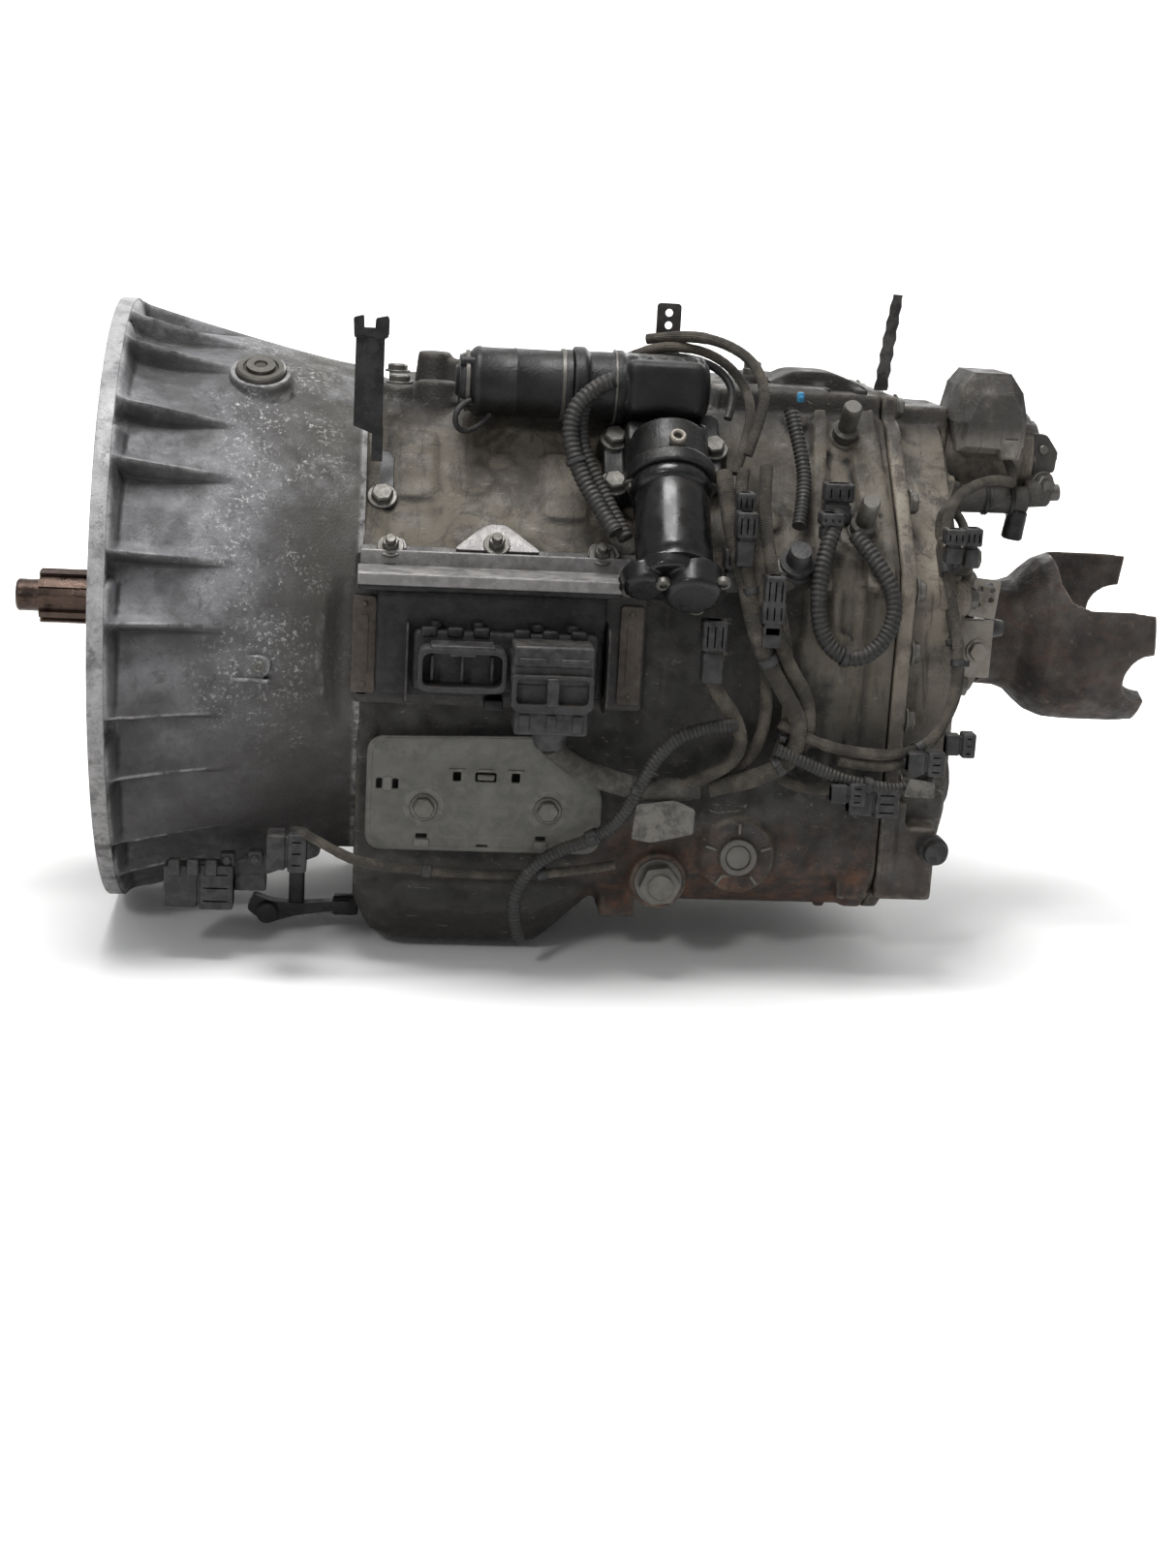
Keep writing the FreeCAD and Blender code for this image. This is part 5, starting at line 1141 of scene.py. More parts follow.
def controller_plug():
    """Harness plug in the controller: lever cover, two cable rooms, latch and boot."""
    bm = bmesh.new()
    block(bm, (349, -298, -8), (419, -262.8, 20), 4)
    block(bm, (350, -301, 8), (418, -262.8, 26), 3)
    outer = rounded([(350, -25.5), (350, 2), (418, 2), (418, -25.5), (412, -30), (356, -30)], 4)
    windows = [slot(26, 22, 367, -12, 5), slot(26, 22, 401, -12, 5)]
    plate(bm, [outer, *windows], on_side(0, 0, -292), 12, 0.8)
    plate(bm, [outer], on_side(0, 0, -284), 10, 0.8)
    block(bm, (379, -305.6, -24), (389, -290, 0), 1.2)
    for x in (355, 390):
        block(bm, (x, -303, 12), (x + 24, -298, 16), 1)
    block(bm, (353, -299, -50), (415, -266, -28), 3)
    for x in (357, 402):
        block(bm, (x, -301, -46), (x + 9, -296, -32), 1.5)
    block(bm, (380, -301.5, -44), (388, -296, -32), 1)
    rod(bm, (384, -282, -40), (386, -280, -64), 17, 13, bevel=2)
    finished("controller_plug_body", bm, PLASTIC, "connector_plastic", ["controller_plug"])


def side_shield():
    """Side cover: rounded plate with raised clip windows and bolts."""
    bm = bmesh.new()
    edge = rounded([(233, -171), (233, -70), (386, -66), (438, -110), (438, -171)], 16, 8)
    windows = [slot(7, 8, 311, -104), slot(18, 8, 336, -104), slot(7, 8, 362, -104), slot(5, 9, 244, -112),
               slot(5, 9, 258, -112), slot(10, 4, 282, -158), slot(9, 4, 386, -158),
               slot(10, 2.6, 335, -166, 1)]
    plate(bm, [edge, *windows], on_side(0, 0, -228.2), 3.4, 0.9)
    border = rounded([(234.5, -169.5), (234.5, -71.5), (385.5, -67.5), (436.5, -110.6), (436.5, -169.5)],
                     16, 8)
    inside = rounded([(237.5, -166.5), (237.5, -74.5), (384.5, -70.5), (433.5, -112), (433.5, -166.5)],
                     14, 8)
    plate(bm, [border, inside], on_side(0, 0, -230.9), 1.2, 0.5)
    for x, z, w, h in ((251, -112, 8, 12), (336, -104, 15, 5), (282, -164, 14, 7), (386, -164, 12, 7)):
        block(bm, (x - w / 2, -233.4, z - h / 2), (x + w / 2, -229, z + h / 2), 1.2)
    for x, z in ((311, -98), (336, -98), (362, -98)):
        block(bm, (x - 7, -232.8, z - 1), (x + 7, -229, z + 1.2), 0.6)
    for x in SHIELD_BOLT_XS:
        ring(bm, on_side(x, SHIELD_BOLT_Z, -230.6), 12, 18, 1.2, 0.5)
        rod(bm, (x, -228, SHIELD_BOLT_Z), (x, -216, SHIELD_BOLT_Z), 8)
    finished("side_shield_plate", bm, SHIELD, "bracket_steel", ["side_shield"])


# ---------------------------------------------------------------- brackets, valve, studs


def strap_bracket():
    """Strap bracket: bolted foot on the shoulder, tall strap and the spring clip at its top."""
    bm = bmesh.new()
    foot = rounded([(228, -46), (249, -46), (249, 10), (244, 16), (228, 16)], 4)
    plate(bm, [foot], on_shoulder(0, 0, 0.4), 2.8, 0.6)
    front = STRAP_LOW.y + 11
    strap = [(228.5, 158.5), (238, 158.5), (238, 186), (237, 192), (237, 270), (212.5, 270), (212.5, 188),
             (228.5, 182)]
    plate(bm, [strap], on_side(0, 0, front - 2.9), 2.8, 0.5)
    for x0, x1, lean in ((211, 220, -1), (228, 239, 0.8)):
        outline = rounded([(x0, 262), (x1, 262), (x1 + lean, 281.5), (x0 + lean, 279)], 2)
        plate(bm, [outline], on_side(0, 0, front - 6), 2.2, 0.4)
    block(bm, (211, front - 7.8, 263), (240, front - 5, 271), 0.8)
    block(bm, (211, front - 7, 263), (213.5, front + 4, 273), 0.8)
    block(bm, (237, front - 7.5, 265), (240.5, front + 4, 279), 0.8)
    rod(bm, (226, front - 6, 256), (226, front, 256), 8)
    finished("strap_bracket_sheet", bm, SATIN_BLACK, "bracket_steel", ["strap_bracket"])
    bm = bmesh.new()
    hex_head(bm, on_shoulder(239, -34, 3.4, 10), 9.5, 8, 13)
    finished("strap_bolt", bm, DARK_BOLT, "zinc_steel")


def perforated_strips():
    """Slotted strip on top of the shifter and the twisted strip at the rear seam."""
    bm = bmesh.new()
    place = on_side(0, 0, -69.2)
    plate(bm, [rounded([(480, 239), (502, 239), (502, 299.5), (480, 299.5)], 4), circle(3.4, 491, 280, 20),
               circle(3.4, 491, 291, 20), slot(6, 12, 491, 262, 2.5)], place, 2.6, 0.4)
    block(bm, (481, -72, 238.4), (501, -55, 241), 0.8)
    rows = []
    for step in range(25):
        t = step / 24
        height = 229 + t * 87.5
        centre = Vector((697 + 9 * t, -36.5 + 2 * math.sin(math.pi * t), height))
        angle = math.radians(-70 * t + 8)
        side = Vector((math.cos(angle), math.sin(angle), 0))
        face = Vector((-math.sin(angle), math.cos(angle), 0)) * 1.1
        half = side * (6 - 0.5 * t + 0.7 * math.sin(t * 12 * math.pi))
        rows.append([bm.verts.new(centre - half - face), bm.verts.new(centre + half - face),
                     bm.verts.new(centre + half + face), bm.verts.new(centre - half + face)])
    for lower, upper in zip(rows, rows[1:]):
        band_of_faces(bm, lower, upper)
    bm.faces.new(rows[0][::-1])
    bm.faces.new(rows[-1])
    finished("perforated_strips", bm, BRACKET, "bracket_steel", ["perforated_brackets"])


def range_shift_parts():
    """Range cylinder, its valve body with cable gland, solenoid block and air fittings."""
    bm = bmesh.new()
    cad_copy(bm, "range_cylinder")
    for y, z in round_spots(4, 36, 45):
        rod(bm, (HOUSING_HIGH.x + 1, y, 172 + z), (HOUSING_HIGH.x + 84, y, 172 + z), 7)
    cast("range_cylinder_casting", bm, REAR_CASE, "rear_casting", 1.6, 4, ["range_cylinder"])
    bm = bmesh.new()
    body = [(770, 178), (764, 206), (771, 238), (781, 251), (815, 251), (828, 234), (834, 210), (833, 184),
            (822, 176)]
    bar(bm, body, on_side(0, 0, 12), 66)
    face = [(776, 184), (776, 206), (784, 226), (790, 232), (816, 232), (824, 220), (827, 206), (827, 186),
            (818, 182)]
    tapered(bm, body, face, on_side(0, 0, -53.5), 11.5)
    lathe(bm, [(0, 0), (13, 0), (12, 6), (9, 16), (0, 16)], at((818, -56, 188), (0, -0.3, -1)))
    cast("range_valve_body", bm, VALVE, "valve_casting", 1.0, 2, ["range_valve"])
    bm = bmesh.new()
    bar(bm, rounded([(834, 197), (861, 195), (873, 179), (871, 160), (846, 156), (834, 166)], 3),
        on_side(0, 0, -24), 9)
    bar(bm, rounded([(834, 190), (861, 190), (866, 160), (834, 160)], 3), on_side(0, 0, 10), 36)
    rod(bm, (771, -50, 134), (842, -50, 135), 13, bevel=2)
    rod(bm, (842, -42, 140), (864, -42, 142), 13, bevel=2)
    block(bm, (762, -60, 122), (776, -30, 150), 2)
    cast("range_solenoid_block", bm, DARK_CASE, "valve_casting", 1.1, 2)
    bm = bmesh.new()
    rod(bm, (858, -33, 181), (858, -36, 181), 4.5, steps=20)
    hex_head(bm, at((858, -40, 150), (0.25, -1, -0.1)), 10, 9, 12)
    rod(bm, (859, -48, 149), (861, -54, 148), 6, steps=24)
    rod(bm, (864, -42, 142), (874, -42, 143), 8)
    finished("air_fittings", bm, DARK_BOLT, "zinc_steel")
    bm = bmesh.new()
    rod(bm, (834, -52, 126), (830, -52, 98), 9.5, 10, bevel=2)
    ring(bm, at((800, -50, 134.5), (1, 0, 0)), 12, 15, 4, 1)
    ring(bm, at((824, -50, 134.8), (1, 0, 0)), 12, 15, 4, 1)
    finished("range_exhaust_silencer", bm, SATIN_BLACK, "shifter_black")


def studs_and_sensors():
    """Mounting studs with their collars, the speed sensors and the threaded plugs."""
    bm = bmesh.new()
    for x, up_slope in ((650, 54.4), (657, -50.2)):
        place = on_shoulder(x, up_slope)
        lathe(bm, [(0, 0), (14, 0), (14, 5), (12.5, 7), (11.5, 7), (11.5, 16), (9, 18), (8.4, 18.5),
                   (8.4, 45), (7, 47.5), (0, 47.5)], place, 40)
    finished("mounting_stud_set", bm, DARK_BOLT, "zinc_steel", ["mounting_studs"])
    bm = bmesh.new()
    place = on_shoulder(596, -92)
    lathe(bm, [(0, 0), (16, 0), (16, 4), (14, 5), (14, 9), (15.5, 10), (15.5, 13), (13, 14), (11, 15),
               (10.5, 22), (9, 29.5), (0, 29.5)], place, 40)
    plate(bm, [rounded([(566, -107), (604, -107), (604, -79), (580, -79), (566, -88)], 8)],
          on_shoulder(0, 0, 0.3), 2.4)
    axis = at((762.3, -150, 30), (1, 0, 0))
    lathe(bm, [(0, 0), (18, 0), (18, 9), (15, 10), (12, 12), (12, 26), (9, 30), (7, 39.5), (0, 39.5)],
          axis, 40)
    low = on_side(738, -160, -214.4)
    lathe(bm, [(0, 0), (13, 0), (13, 14), (11, 16), (10, 23.4), (0, 23.4)], low, 40)
    finished("speed_sensor_set", bm, PLASTIC, "connector_plastic", ["speed_sensors"])
    bm = bmesh.new()
    hex_head(bm, on_shoulder(583, -95, 2.8), 8, 7, 10)
    hex_head(bm, on_side(SMALL_PLUG_X, SMALL_PLUG_Z, -230.5, 8), 18, 17, 21)
    rod(bm, (SMALL_PLUG_X, -247, SMALL_PLUG_Z), (SMALL_PLUG_X, -250.5, SMALL_PLUG_Z), 12, bevel=1.5)
    place = on_side(LARGE_PLUG_X, LARGE_PLUG_Z, -221.8)
    ring(bm, place, 11, 17, 3.4, 1)
    rod(bm, (LARGE_PLUG_X, -221.8, LARGE_PLUG_Z), (LARGE_PLUG_X, -224, LARGE_PLUG_Z), 11, bevel=0.8)
    for angle in range(90, 450, 72):
        spoke = on_side(LARGE_PLUG_X, LARGE_PLUG_Z, -221.4, angle) @ Matrix.Translation((26, 0, 0))
        block(bm, (-5, -1.4, 0), (5, 1.4, 1.6), 0.6, spoke)
    finished("threaded_plug_set", bm, DARK_BOLT, "zinc_steel", ["threaded_plugs"])


def case_bolts():
    """Every hexagon bolt of the seams and covers, with washers."""
    bm = bmesh.new()
    for y, z in SEAM_BOLTS:
        hex_head(bm, at((CASE_BACK + 14.6, y, z), (1, 0, 0), 10 * y), 9.5, 8.5, 12.5)
    for y, z in round_spots(6, 62, 30):
        hex_head(bm, at((CASE_FRONT - 12, y, z), (-1, 0, 0)), 9.5, 7, 0)
    for k, (y, z) in enumerate(round_spots(8, 82, 22.5)):
        hex_head(bm, at((COVER_FLANGE_BACK, y, z), (1, 0, 0), 8 * k), 9.5, 8, 12)
    for x in (252, 312, 444, 510):
        for y in (-69, 69):
            hex_head(bm, at((x, y, 217), spin=x), 9.5, 7.5, 12)
    for x in (305, 355, 405):
        for z in (-140, -30):
            hex_head(bm, at((x, 226, z), (0, 1, 0), x), 9.5, 7.5, 12)
    for x in (512, 570, 628):
        for y in (0, 110):
            hex_head(bm, at((x, y, -242), (0, 0, -1), x), 9.5, 7.5, 12)
    for x in SHIELD_BOLT_XS:
        hex_head(bm, on_side(x, SHIELD_BOLT_Z, -231.8, 5), 9.5, 7.5, 12)
    finished("case_bolt_set", bm, DARK_BOLT, "zinc_steel", ["case_bolts"])


def rear_cover_details():
    """Small perforated plate, cable support and lugs round the output bearing cover."""
    bm = bmesh.new()
    back = COVER_FLANGE_BACK
    stand = on_side(back + 1, 60, -170, -5)
    holes = [circle(2.6, 6, 8, 16), circle(2.6, 6, -1, 16), slot(4.5, 5, -5, 8), slot(4.5, 4, -5, -6),
             slot(7, 3, 2, 13)]
    plate(bm, [slot(25, 35, 0, 0, 3), *holes], stand, 2, 0.3)
    block(bm, (back - 24, -170, 38), (back + 4, -140, 41), 0.8)
    block(bm, (back - 16, -172, -12), (back + 12, -169, 40), 1)
    hex_head(bm, on_side(back - 1, 12, -172, 6), 8.5, 7, 11)
    finished("cable_support_plate", bm, ZINC, "bracket_steel")
    lugs = [(-92, 92), (-112, 8), (-104, -40), (96, 88), (110, -30)]
    near_lugs = [(-176, 60), (-172, 96), (-168, -20)]
    bm = bmesh.new()
    for y, z in lugs:
        rod(bm, (HOUSING_HIGH.x - 6, y, z), (HOUSING_HIGH.x + 7, y, z), 17, 15)
    for y, z in near_lugs:
        rod(bm, (HOUSING_HIGH.x - 30, y, z), (HOUSING_HIGH.x - 2, y, z), 18, 16)
    cast("rear_cover_lugs", bm, REAR_CASE, "rear_casting", 1.6, 3)
    bm = bmesh.new()
    for y, z in lugs:
        hex_head(bm, at((HOUSING_HIGH.x + 7, y, z), (1, 0, 0), y), 9.5, 9, 13)
    for y, z in near_lugs:
        hex_head(bm, at((HOUSING_HIGH.x - 2, y, z), (1, 0, 0), y), 9.5, 9, 13)
    finished("rear_cover_lug_bolts", bm, DARK_BOLT, "zinc_steel")


def output_yoke():
    """Forged half-round yoke: flared hub, two ears with seats, strap holes, pads and webs."""
    tilt = Matrix.Rotation(math.radians(20), 4, "X")
    front, end = YOKE_LOW.x, YOKE_HIGH.x
    bm = bmesh.new()
    lathe(bm, [(24.2, front), (50, front), (51, front + 20), (55, front + 32), (66, front + 44),
               (74, front + 54), (81, front + 72), (84, front + 92), (84, end - 24), (82.5, end), (52, end),
               (40, front + 70), (40, front + 52), (24.2, front + 52)], tilt @ at((0, 0, 0), (1, 0, 0)),
               120, closed=True)
    cutter = bmesh.new()
    gap = [(end + 30, -58), (front + 92, -58), (front + 74, -50), (front + 66, -30), (front + 66, 30),
           (front + 74, 50), (front + 92, 58), (end + 30, 58)]
    bar(cutter, gap, tilt @ Matrix.Translation((0, 0, -110)), 220)
    ears = carved(bm, cutter)
    for side in (-1, 1):
        for height, radius in ((24, 9), (-26, 8)):
            start = tilt @ Vector((front + 92, side * 75, height))
            rod(ears, start, tilt @ Vector((end - 24, side * 76, height)), radius, radius - 2)
        lathe(ears, [(0, -8), (15, -8), (13, 4.5), (9, 4.5), (8, 3), (0, 3)],
              tilt @ at((front + 62, side * 70, 8), (-0.35, side, 0)), 40)
        for height in (-48, 48):
            start = tilt @ Vector((front + 58, side * 48, height))
            rod(ears, start, tilt @ Vector((end - 10, side * 66, height)), 8, 7)
    cutter = bmesh.new()
    rod(cutter, tilt @ Vector((end - 2, -120, 0)), tilt @ Vector((end - 2, 120, 0)), 24.6, steps=64)
    seated = carved(ears, cutter)
    cutter = bmesh.new()
    for y, z in ((-65, -36), (-65, 36), (65, -36), (65, 36)):
        rod(cutter, tilt @ Vector((end - 32, y, z)), tilt @ Vector((end + 20, y, z)), 4.6, steps=24)
    cast("output_yoke_forging", carved(seated, cutter), YOKE, "yoke_iron", 1.3, 4,
         ["output_yoke"], "output")


# ---------------------------------------------------------------- harness


def route_line(points, spacing=1.0):
    """Even points along the smooth curve that a lead follows."""
    curve = bpy.data.curves.new("route", "CURVE")
    curve.dimensions = "3D"
    curve.resolution_u = 40
    spline = curve.splines.new("NURBS")
    spline.points.add(len(points) - 1)
    for point, corner in zip(spline.points, points):
        point.co = (*corner, 1)
    spline.order_u = 3
    spline.use_endpoint_u = True
    mesh = curve_mesh(curve)
    line = np.array([vert.co for vert in mesh.vertices])
    bpy.data.meshes.remove(mesh)
    travelled = np.concatenate([[0], np.cumsum(np.linalg.norm(np.diff(line, axis=0), axis=1))])
    marks = np.linspace(0, travelled[-1], max(8, int(travelled[-1] / spacing)))
    return np.stack([np.interp(marks, travelled, line[:, k]) for k in range(3)], axis=1), marks


def frames_along(line):
    """Two cross directions at each point of a line, carried along without twisting."""
    ahead = np.gradient(line, axis=0)
    ahead /= np.linalg.norm(ahead, axis=1)[:, None]
    side = np.cross(ahead[0], (0.3, 0.2, 1.0))
    sides = []
    for direction in ahead:
        side = side - direction * np.dot(side, direction)
        side /= np.linalg.norm(side)
        sides.append(side.copy())
    sides = np.array(sides)
    return sides, np.cross(ahead, sides)


def tube(bm, line, marks, radii, around=20):
    """A closed tube along a line, with its length and girth kept in the along map, in metres."""
    layer = bm.loops.layers.uv.get("along") or bm.loops.layers.uv.new("along")
    first, second = frames_along(line)
    turns = np.linspace(0, 2 * math.pi, around, endpoint=False)
    rings = []
    for point, a, b, radius in zip(line, first, second, radii):
        rings.append([bm.verts.new(point + radius * (a * math.cos(t) + b * math.sin(t))) for t in turns])
    girth = 2 * math.pi * float(np.max(radii)) * MM
    for i in range(len(rings) - 1):
        for j in range(around):
            after = (j + 1) % around
            face = bm.faces.new([rings[i][j], rings[i][after], rings[i + 1][after], rings[i + 1][j]])
            spots = [(j, i), (j + 1, i), (j + 1, i + 1), (j, i + 1)]
            for loop, (step, row) in zip(face.loops, spots):
                loop[layer].uv = (step / around * girth, marks[row] * MM)
    bm.faces.new(rings[0][::-1])
    bm.faces.new(rings[-1])


def corrugated(marks, radius, pitch):
    """Radii of a corrugated conduit."""
    wave = 0.5 + 0.5 * np.cos(2 * math.pi * marks / pitch)
    return radius * (0.87 + 0.13 * wave ** 0.7)


def wrapped(marks, radius, start, end):
    """Radii of a plain lead with a thicker taped stretch."""
    fraction = marks / marks[-1]
    swell = stepped(fraction, start - 0.01, start + 0.01) * (1 - stepped(fraction, end - 0.01, end + 0.01))
    wobble = 1 + 0.025 * np.sin(marks * 0.9) * np.sin(marks * 0.23)
    return radius * (0.93 * wobble + 0.09 * swell)


# Each lead: radius, kind and the points of its route.
LEADS = {
    "shifter_loop": (7.5, "conduit", [
        (428, -190, 236), (404, -194, 224), (394, -198, 196), (402, -206, 166), (418, -218, 138),
        (436, -238, 114),
    ]),
    "shifter_return": (7, "conduit", [
        (434, -184, 238), (414, -182, 232), (404, -184, 204), (410, -192, 172), (428, -204, 140),
        (446, -226, 108),
    ]),
    "motor_pigtail": (2.6, "wire", [
        (312, -156, 212), (302, -166, 208), (298, -168, 194), (306, -160, 184), (322, -150, 190),
        (330, -146, 200),
    ]),
    "top_lead": (5, "plain", [
        (470, -92, 268), (500, -108, 274), (530, -136, 272), (556, -158, 258), (566, -176, 234),
        (560, -188, 206), (550, -196, 180),
    ]),
    "top_lead_inner": (4.5, "plain", [
        (443, -96, 246), (470, -104, 262), (510, -112, 264), (536, -124, 254), (552, -146, 236),
        (556, -170, 214), (548, -190, 188), (540, -202, 164),
    ]),
    "top_lead_low": (4, "wire", [
        (452, -100, 244), (486, -104, 256), (522, -112, 252), (540, -128, 240), (544, -140, 222),
        (538, -150, 206),
    ]),
    "trunk_front": (6, "plain", [
        (547, -202, 168), (541, -222, 134), (546, -248, 92), (562, -246, 44), (574, -240, -6),
        (576, -238, -52), (560, -240, -86), (530, -240, -103),
    ]),
    "trunk_back": (6, "plain", [
        (566, -206, 172), (562, -226, 136), (570, -240, 90), (584, -240, 42), (594, -238, -8),
        (596, -236, -56), (584, -234, -88), (610, -233, -106), (650, -234, -104),
    ]),
    "trunk_left": (8, "plain", [
        (529, -206, 166), (534, -226, 127), (547, -240, 86), (556, -250, 44), (570, -252, 11),
        (587, -250, -14), (603, -248, -39), (604, -248, -65), (585, -248, -86), (556, -248, -96),
        (528, -248, -104),
    ]),
    "trunk_right": (7, "plain", [
        (556, -214, 140), (556, -232, 111), (561, -246, 69), (578, -246, 32), (593, -244, 3),
        (608, -242, -18), (614, -242, -44), (608, -242, -70), (584, -242, -92), (550, -242, -102),
    ]),
    "socket_lead": (6.5, "plain", [
        (522, -256, -4), (532, -252, -22), (550, -250, -43), (555, -250, -69), (534, -250, -90),
        (504, -250, -102),
    ]),
    "sensor_lead": (6.5, "conduit", [
        (594, -146, 216), (603, -164, 182), (606, -182, 150), (598, -206, 122),
    ]),
    "big_loop": (7.5, "conduit", [
        (632, -206, 134), (618, -228, 104), (612, -236, 62), (622, -238, 24), (650, -238, 10),
        (676, -236, 28), (684, -234, 62), (668, -228, 94), (646, -212, 118),
    ]),
    "plug_lead": (10, "wrapped", [
        (520, -246, -104), (478, -248, -108), (438, -252, -98), (404, -262, -82), (386, -280, -62),
    ]),
    "under_lead": (6, "conduit", [
        (548, -256, -44), (512, -256, -48), (484, -258, -68), (468, -258, -98), (454, -254, -132),
        (426, -248, -154), (394, -246, -166), (370, -246, -188), (362, -240, -220), (372, -226, -250),
    ]),
    "rear_conduit": (6, "conduit", [
        (584, -252, -66), (608, -252, -76), (637, -252, -88), (672, -252, -97), (706, -248, -99),
        (726, -238, -90),
    ]),
    "rear_upper": (5, "plain", [
        (587, -244, -44), (619, -250, -60), (654, -250, -67), (694, -244, -70), (726, -234, -59),
        (748, -222, -21), (750, -208, 14), (742, -190, 48), (736, -174, 82), (742, -152, 106),
    ]),
    "rear_crown": (4.5, "plain", [
        (740, -152, 86), (735, -146, 122), (744, -140, 138), (760, -138, 124), (768, -140, 96),
        (768, -138, 66), (764, -140, 40),
    ]),
    "air_tube": (4.5, "plain", [
        (182, -262, -150), (202, -256, -164), (232, -248, -180), (286, -240, -187), (346, -238, -190),
        (400, -236, -188), (452, -236, -178),
    ]),
    "rear_lead": (5, "plain", [
        (822, -64, 152), (804, -86, 158), (776, -108, 154), (748, -138, 142), (734, -174, 110),
        (738, -206, 66), (746, -222, 18), (742, -228, -30), (722, -236, -66), (684, -246, -84),
        (640, -252, -74),
    ]),
    "valve_tail": (4.6, "plain", [
        (818, -57, 172), (824, -62, 160), (820, -66, 152), (804, -86, 157),
    ]),
}


def harness_leads():
    """Every captive lead, corrugated, woven or wrapped."""
    for name, (radius, kind, points) in LEADS.items():
        bm = bmesh.new()
        if kind == "conduit":
            pitch = 0.62 * radius
            line, marks = route_line(points, pitch / 6)
            tube(bm, line, marks, corrugated(marks, radius, pitch), 22)
            finish = CONDUIT
        else:
            line, marks = route_line(points, 1.5)
            start, end = (0.05, 0.62) if kind == "wrapped" else (0.12, 0.3)
            tube(bm, line, marks, wrapped(marks, radius, start, end), 22)
            finish = {"plain": SLEEVE, "wrapped": DARK_SLEEVE, "wire": PLASTIC}[kind]
        finished(f"lead_{name}", bm, finish, "harness_sleeve", ["harness_cables"], smooth=70)


def clip(bm, point, direction, radius, width=8):
    """A cable tie round a lead, with its square lock."""
    place = at(point, direction)
    ring(bm, place @ Matrix.Translation((0, 0, -width / 2)), radius - 0.2, radius + 1.3, width, 0.4, 28)
    block(bm, (radius, -3, -3), (radius + 5, 3, 3), 0.8, place)


def harness_clips():
    """Cable ties, tape flags and clips along the leads."""
    bm = bmesh.new()
    for name, fraction, width in (("trunk_front", 0.12, 9), ("trunk_front", 0.36, 6),
                                  ("trunk_back", 0.3, 6), ("trunk_back", 0.72, 6), ("rear_lead", 0.42, 12),
                                  ("rear_lead", 0.62, 6), ("rear_lead", 0.86, 8), ("under_lead", 0.56, 10),
                                  ("air_tube", 0.42, 8), ("plug_lead", 0.4, 5), ("shifter_loop", 0.55, 4),
                                  ("big_loop", 0.5, 5), ("trunk_left", 0.5, 8), ("trunk_left", 0.82, 7),
                                  ("rear_upper", 0.4, 8), ("rear_upper", 0.72, 12),
                                  ("rear_conduit", 0.6, 8), ("air_tube", 0.78, 8)):
        radius, _, points = LEADS[name]
        line = route_line(points, 2)[0]
        spot = int(fraction * (len(line) - 2))
        clip(bm, line[spot], Vector(line[spot + 1] - line[spot]), radius * 1.02, width)
    finished("cable_ties", bm, PLASTIC, "connector_plastic")
    bm = bmesh.new()
    large = [(-27, -14), (-22, 17), (12, 19), (29, 10), (27, -12), (-10, -18)]
    plate(bm, [rounded(large, 3)], on_side(488, -132, -258, 4), 1.6, 0.4)
    small = [(-13, -8), (-11, 9), (12, 8), (14, -6)]
    plate(bm, [rounded(small, 2)], on_side(712, -96, -258, -6), 1.4, 0.3)
    finished("blank_tape_flags", bm, FOIL, "connector_plastic")
    bm = bmesh.new()
    block(bm, (599, -149, 223), (605, -143, 232), 1.6)
    block(bm, (600, -153, 226), (604, -147, 229), 0.8)
    finished("blue_clip", bm, CLIP_BLUE, "connector_plastic")


def lower_harness_brackets():
    """Clips, flanged brackets and the release lever's end low on the bell."""
    bm = bmesh.new()
    plate(bm, [rounded([(96, -214), (150, -206), (194, -188), (196, -176), (140, -190), (96, -200)], 4)],
          on_side(0, 0, -196), 3, 0.5)
    for x, z in ((84, -206), (108, -198), (132, -196), (160, -184)):
        block(bm, (x, -208, z), (x + 13, -194, z + 12), 2)
        rod(bm, (x + 6, -206, z + 6), (x + 6, -212, z + 6), 4, bevel=1, steps=20)
    for x in (64, 80, 96):
        block(bm, (x, -218, -204), (x + 10, -208, -190), 1.5)
    block(bm, (120, -200, -222), (148, -176, -206), 2)
    ring(bm, at((181, -198, -176), (1, 0, -0.4)), 9, 12, 10, 1.5)
    finished("lower_harness_clips", bm, PLASTIC, "connector_plastic")
    bm = bmesh.new()
    arm = rounded([(128, -262), (146, -276), (170, -268), (208, -262), (222, -264), (222, -252),
                   (176, -256), (150, -254), (134, -248)], 4)
    bar(bm, arm, on_side(0, 0, -112), 12)
    rod(bm, (147, -108, -264), (147, -130, -264), 10, bevel=1.5)
    block(bm, (166, -122, -262), (180, -100, -206), 3)
    block(bm, (206, -120, -268), (230, -104, -250), 3)
    finished("release_adjuster", bm, SATIN_BLACK, "zinc_steel")


# Connector housings: low corner, size, and the axis that the lead runs along.
CONNECTORS = [
    ((536, -256, 92), (18, 20, 46), "Z"),
    ((562, -262, 24), (20, 18, 40), "Z"),
    ((652, -256, -124), (44, 20, 26), "X"),
    ((614, -222, 112), (20, 20, 24), "Z"),
    ((60, -214, -236), (60, 26, 40), "X"),
    ((150, -262, -186), (34, 30, 34), "X"),
]

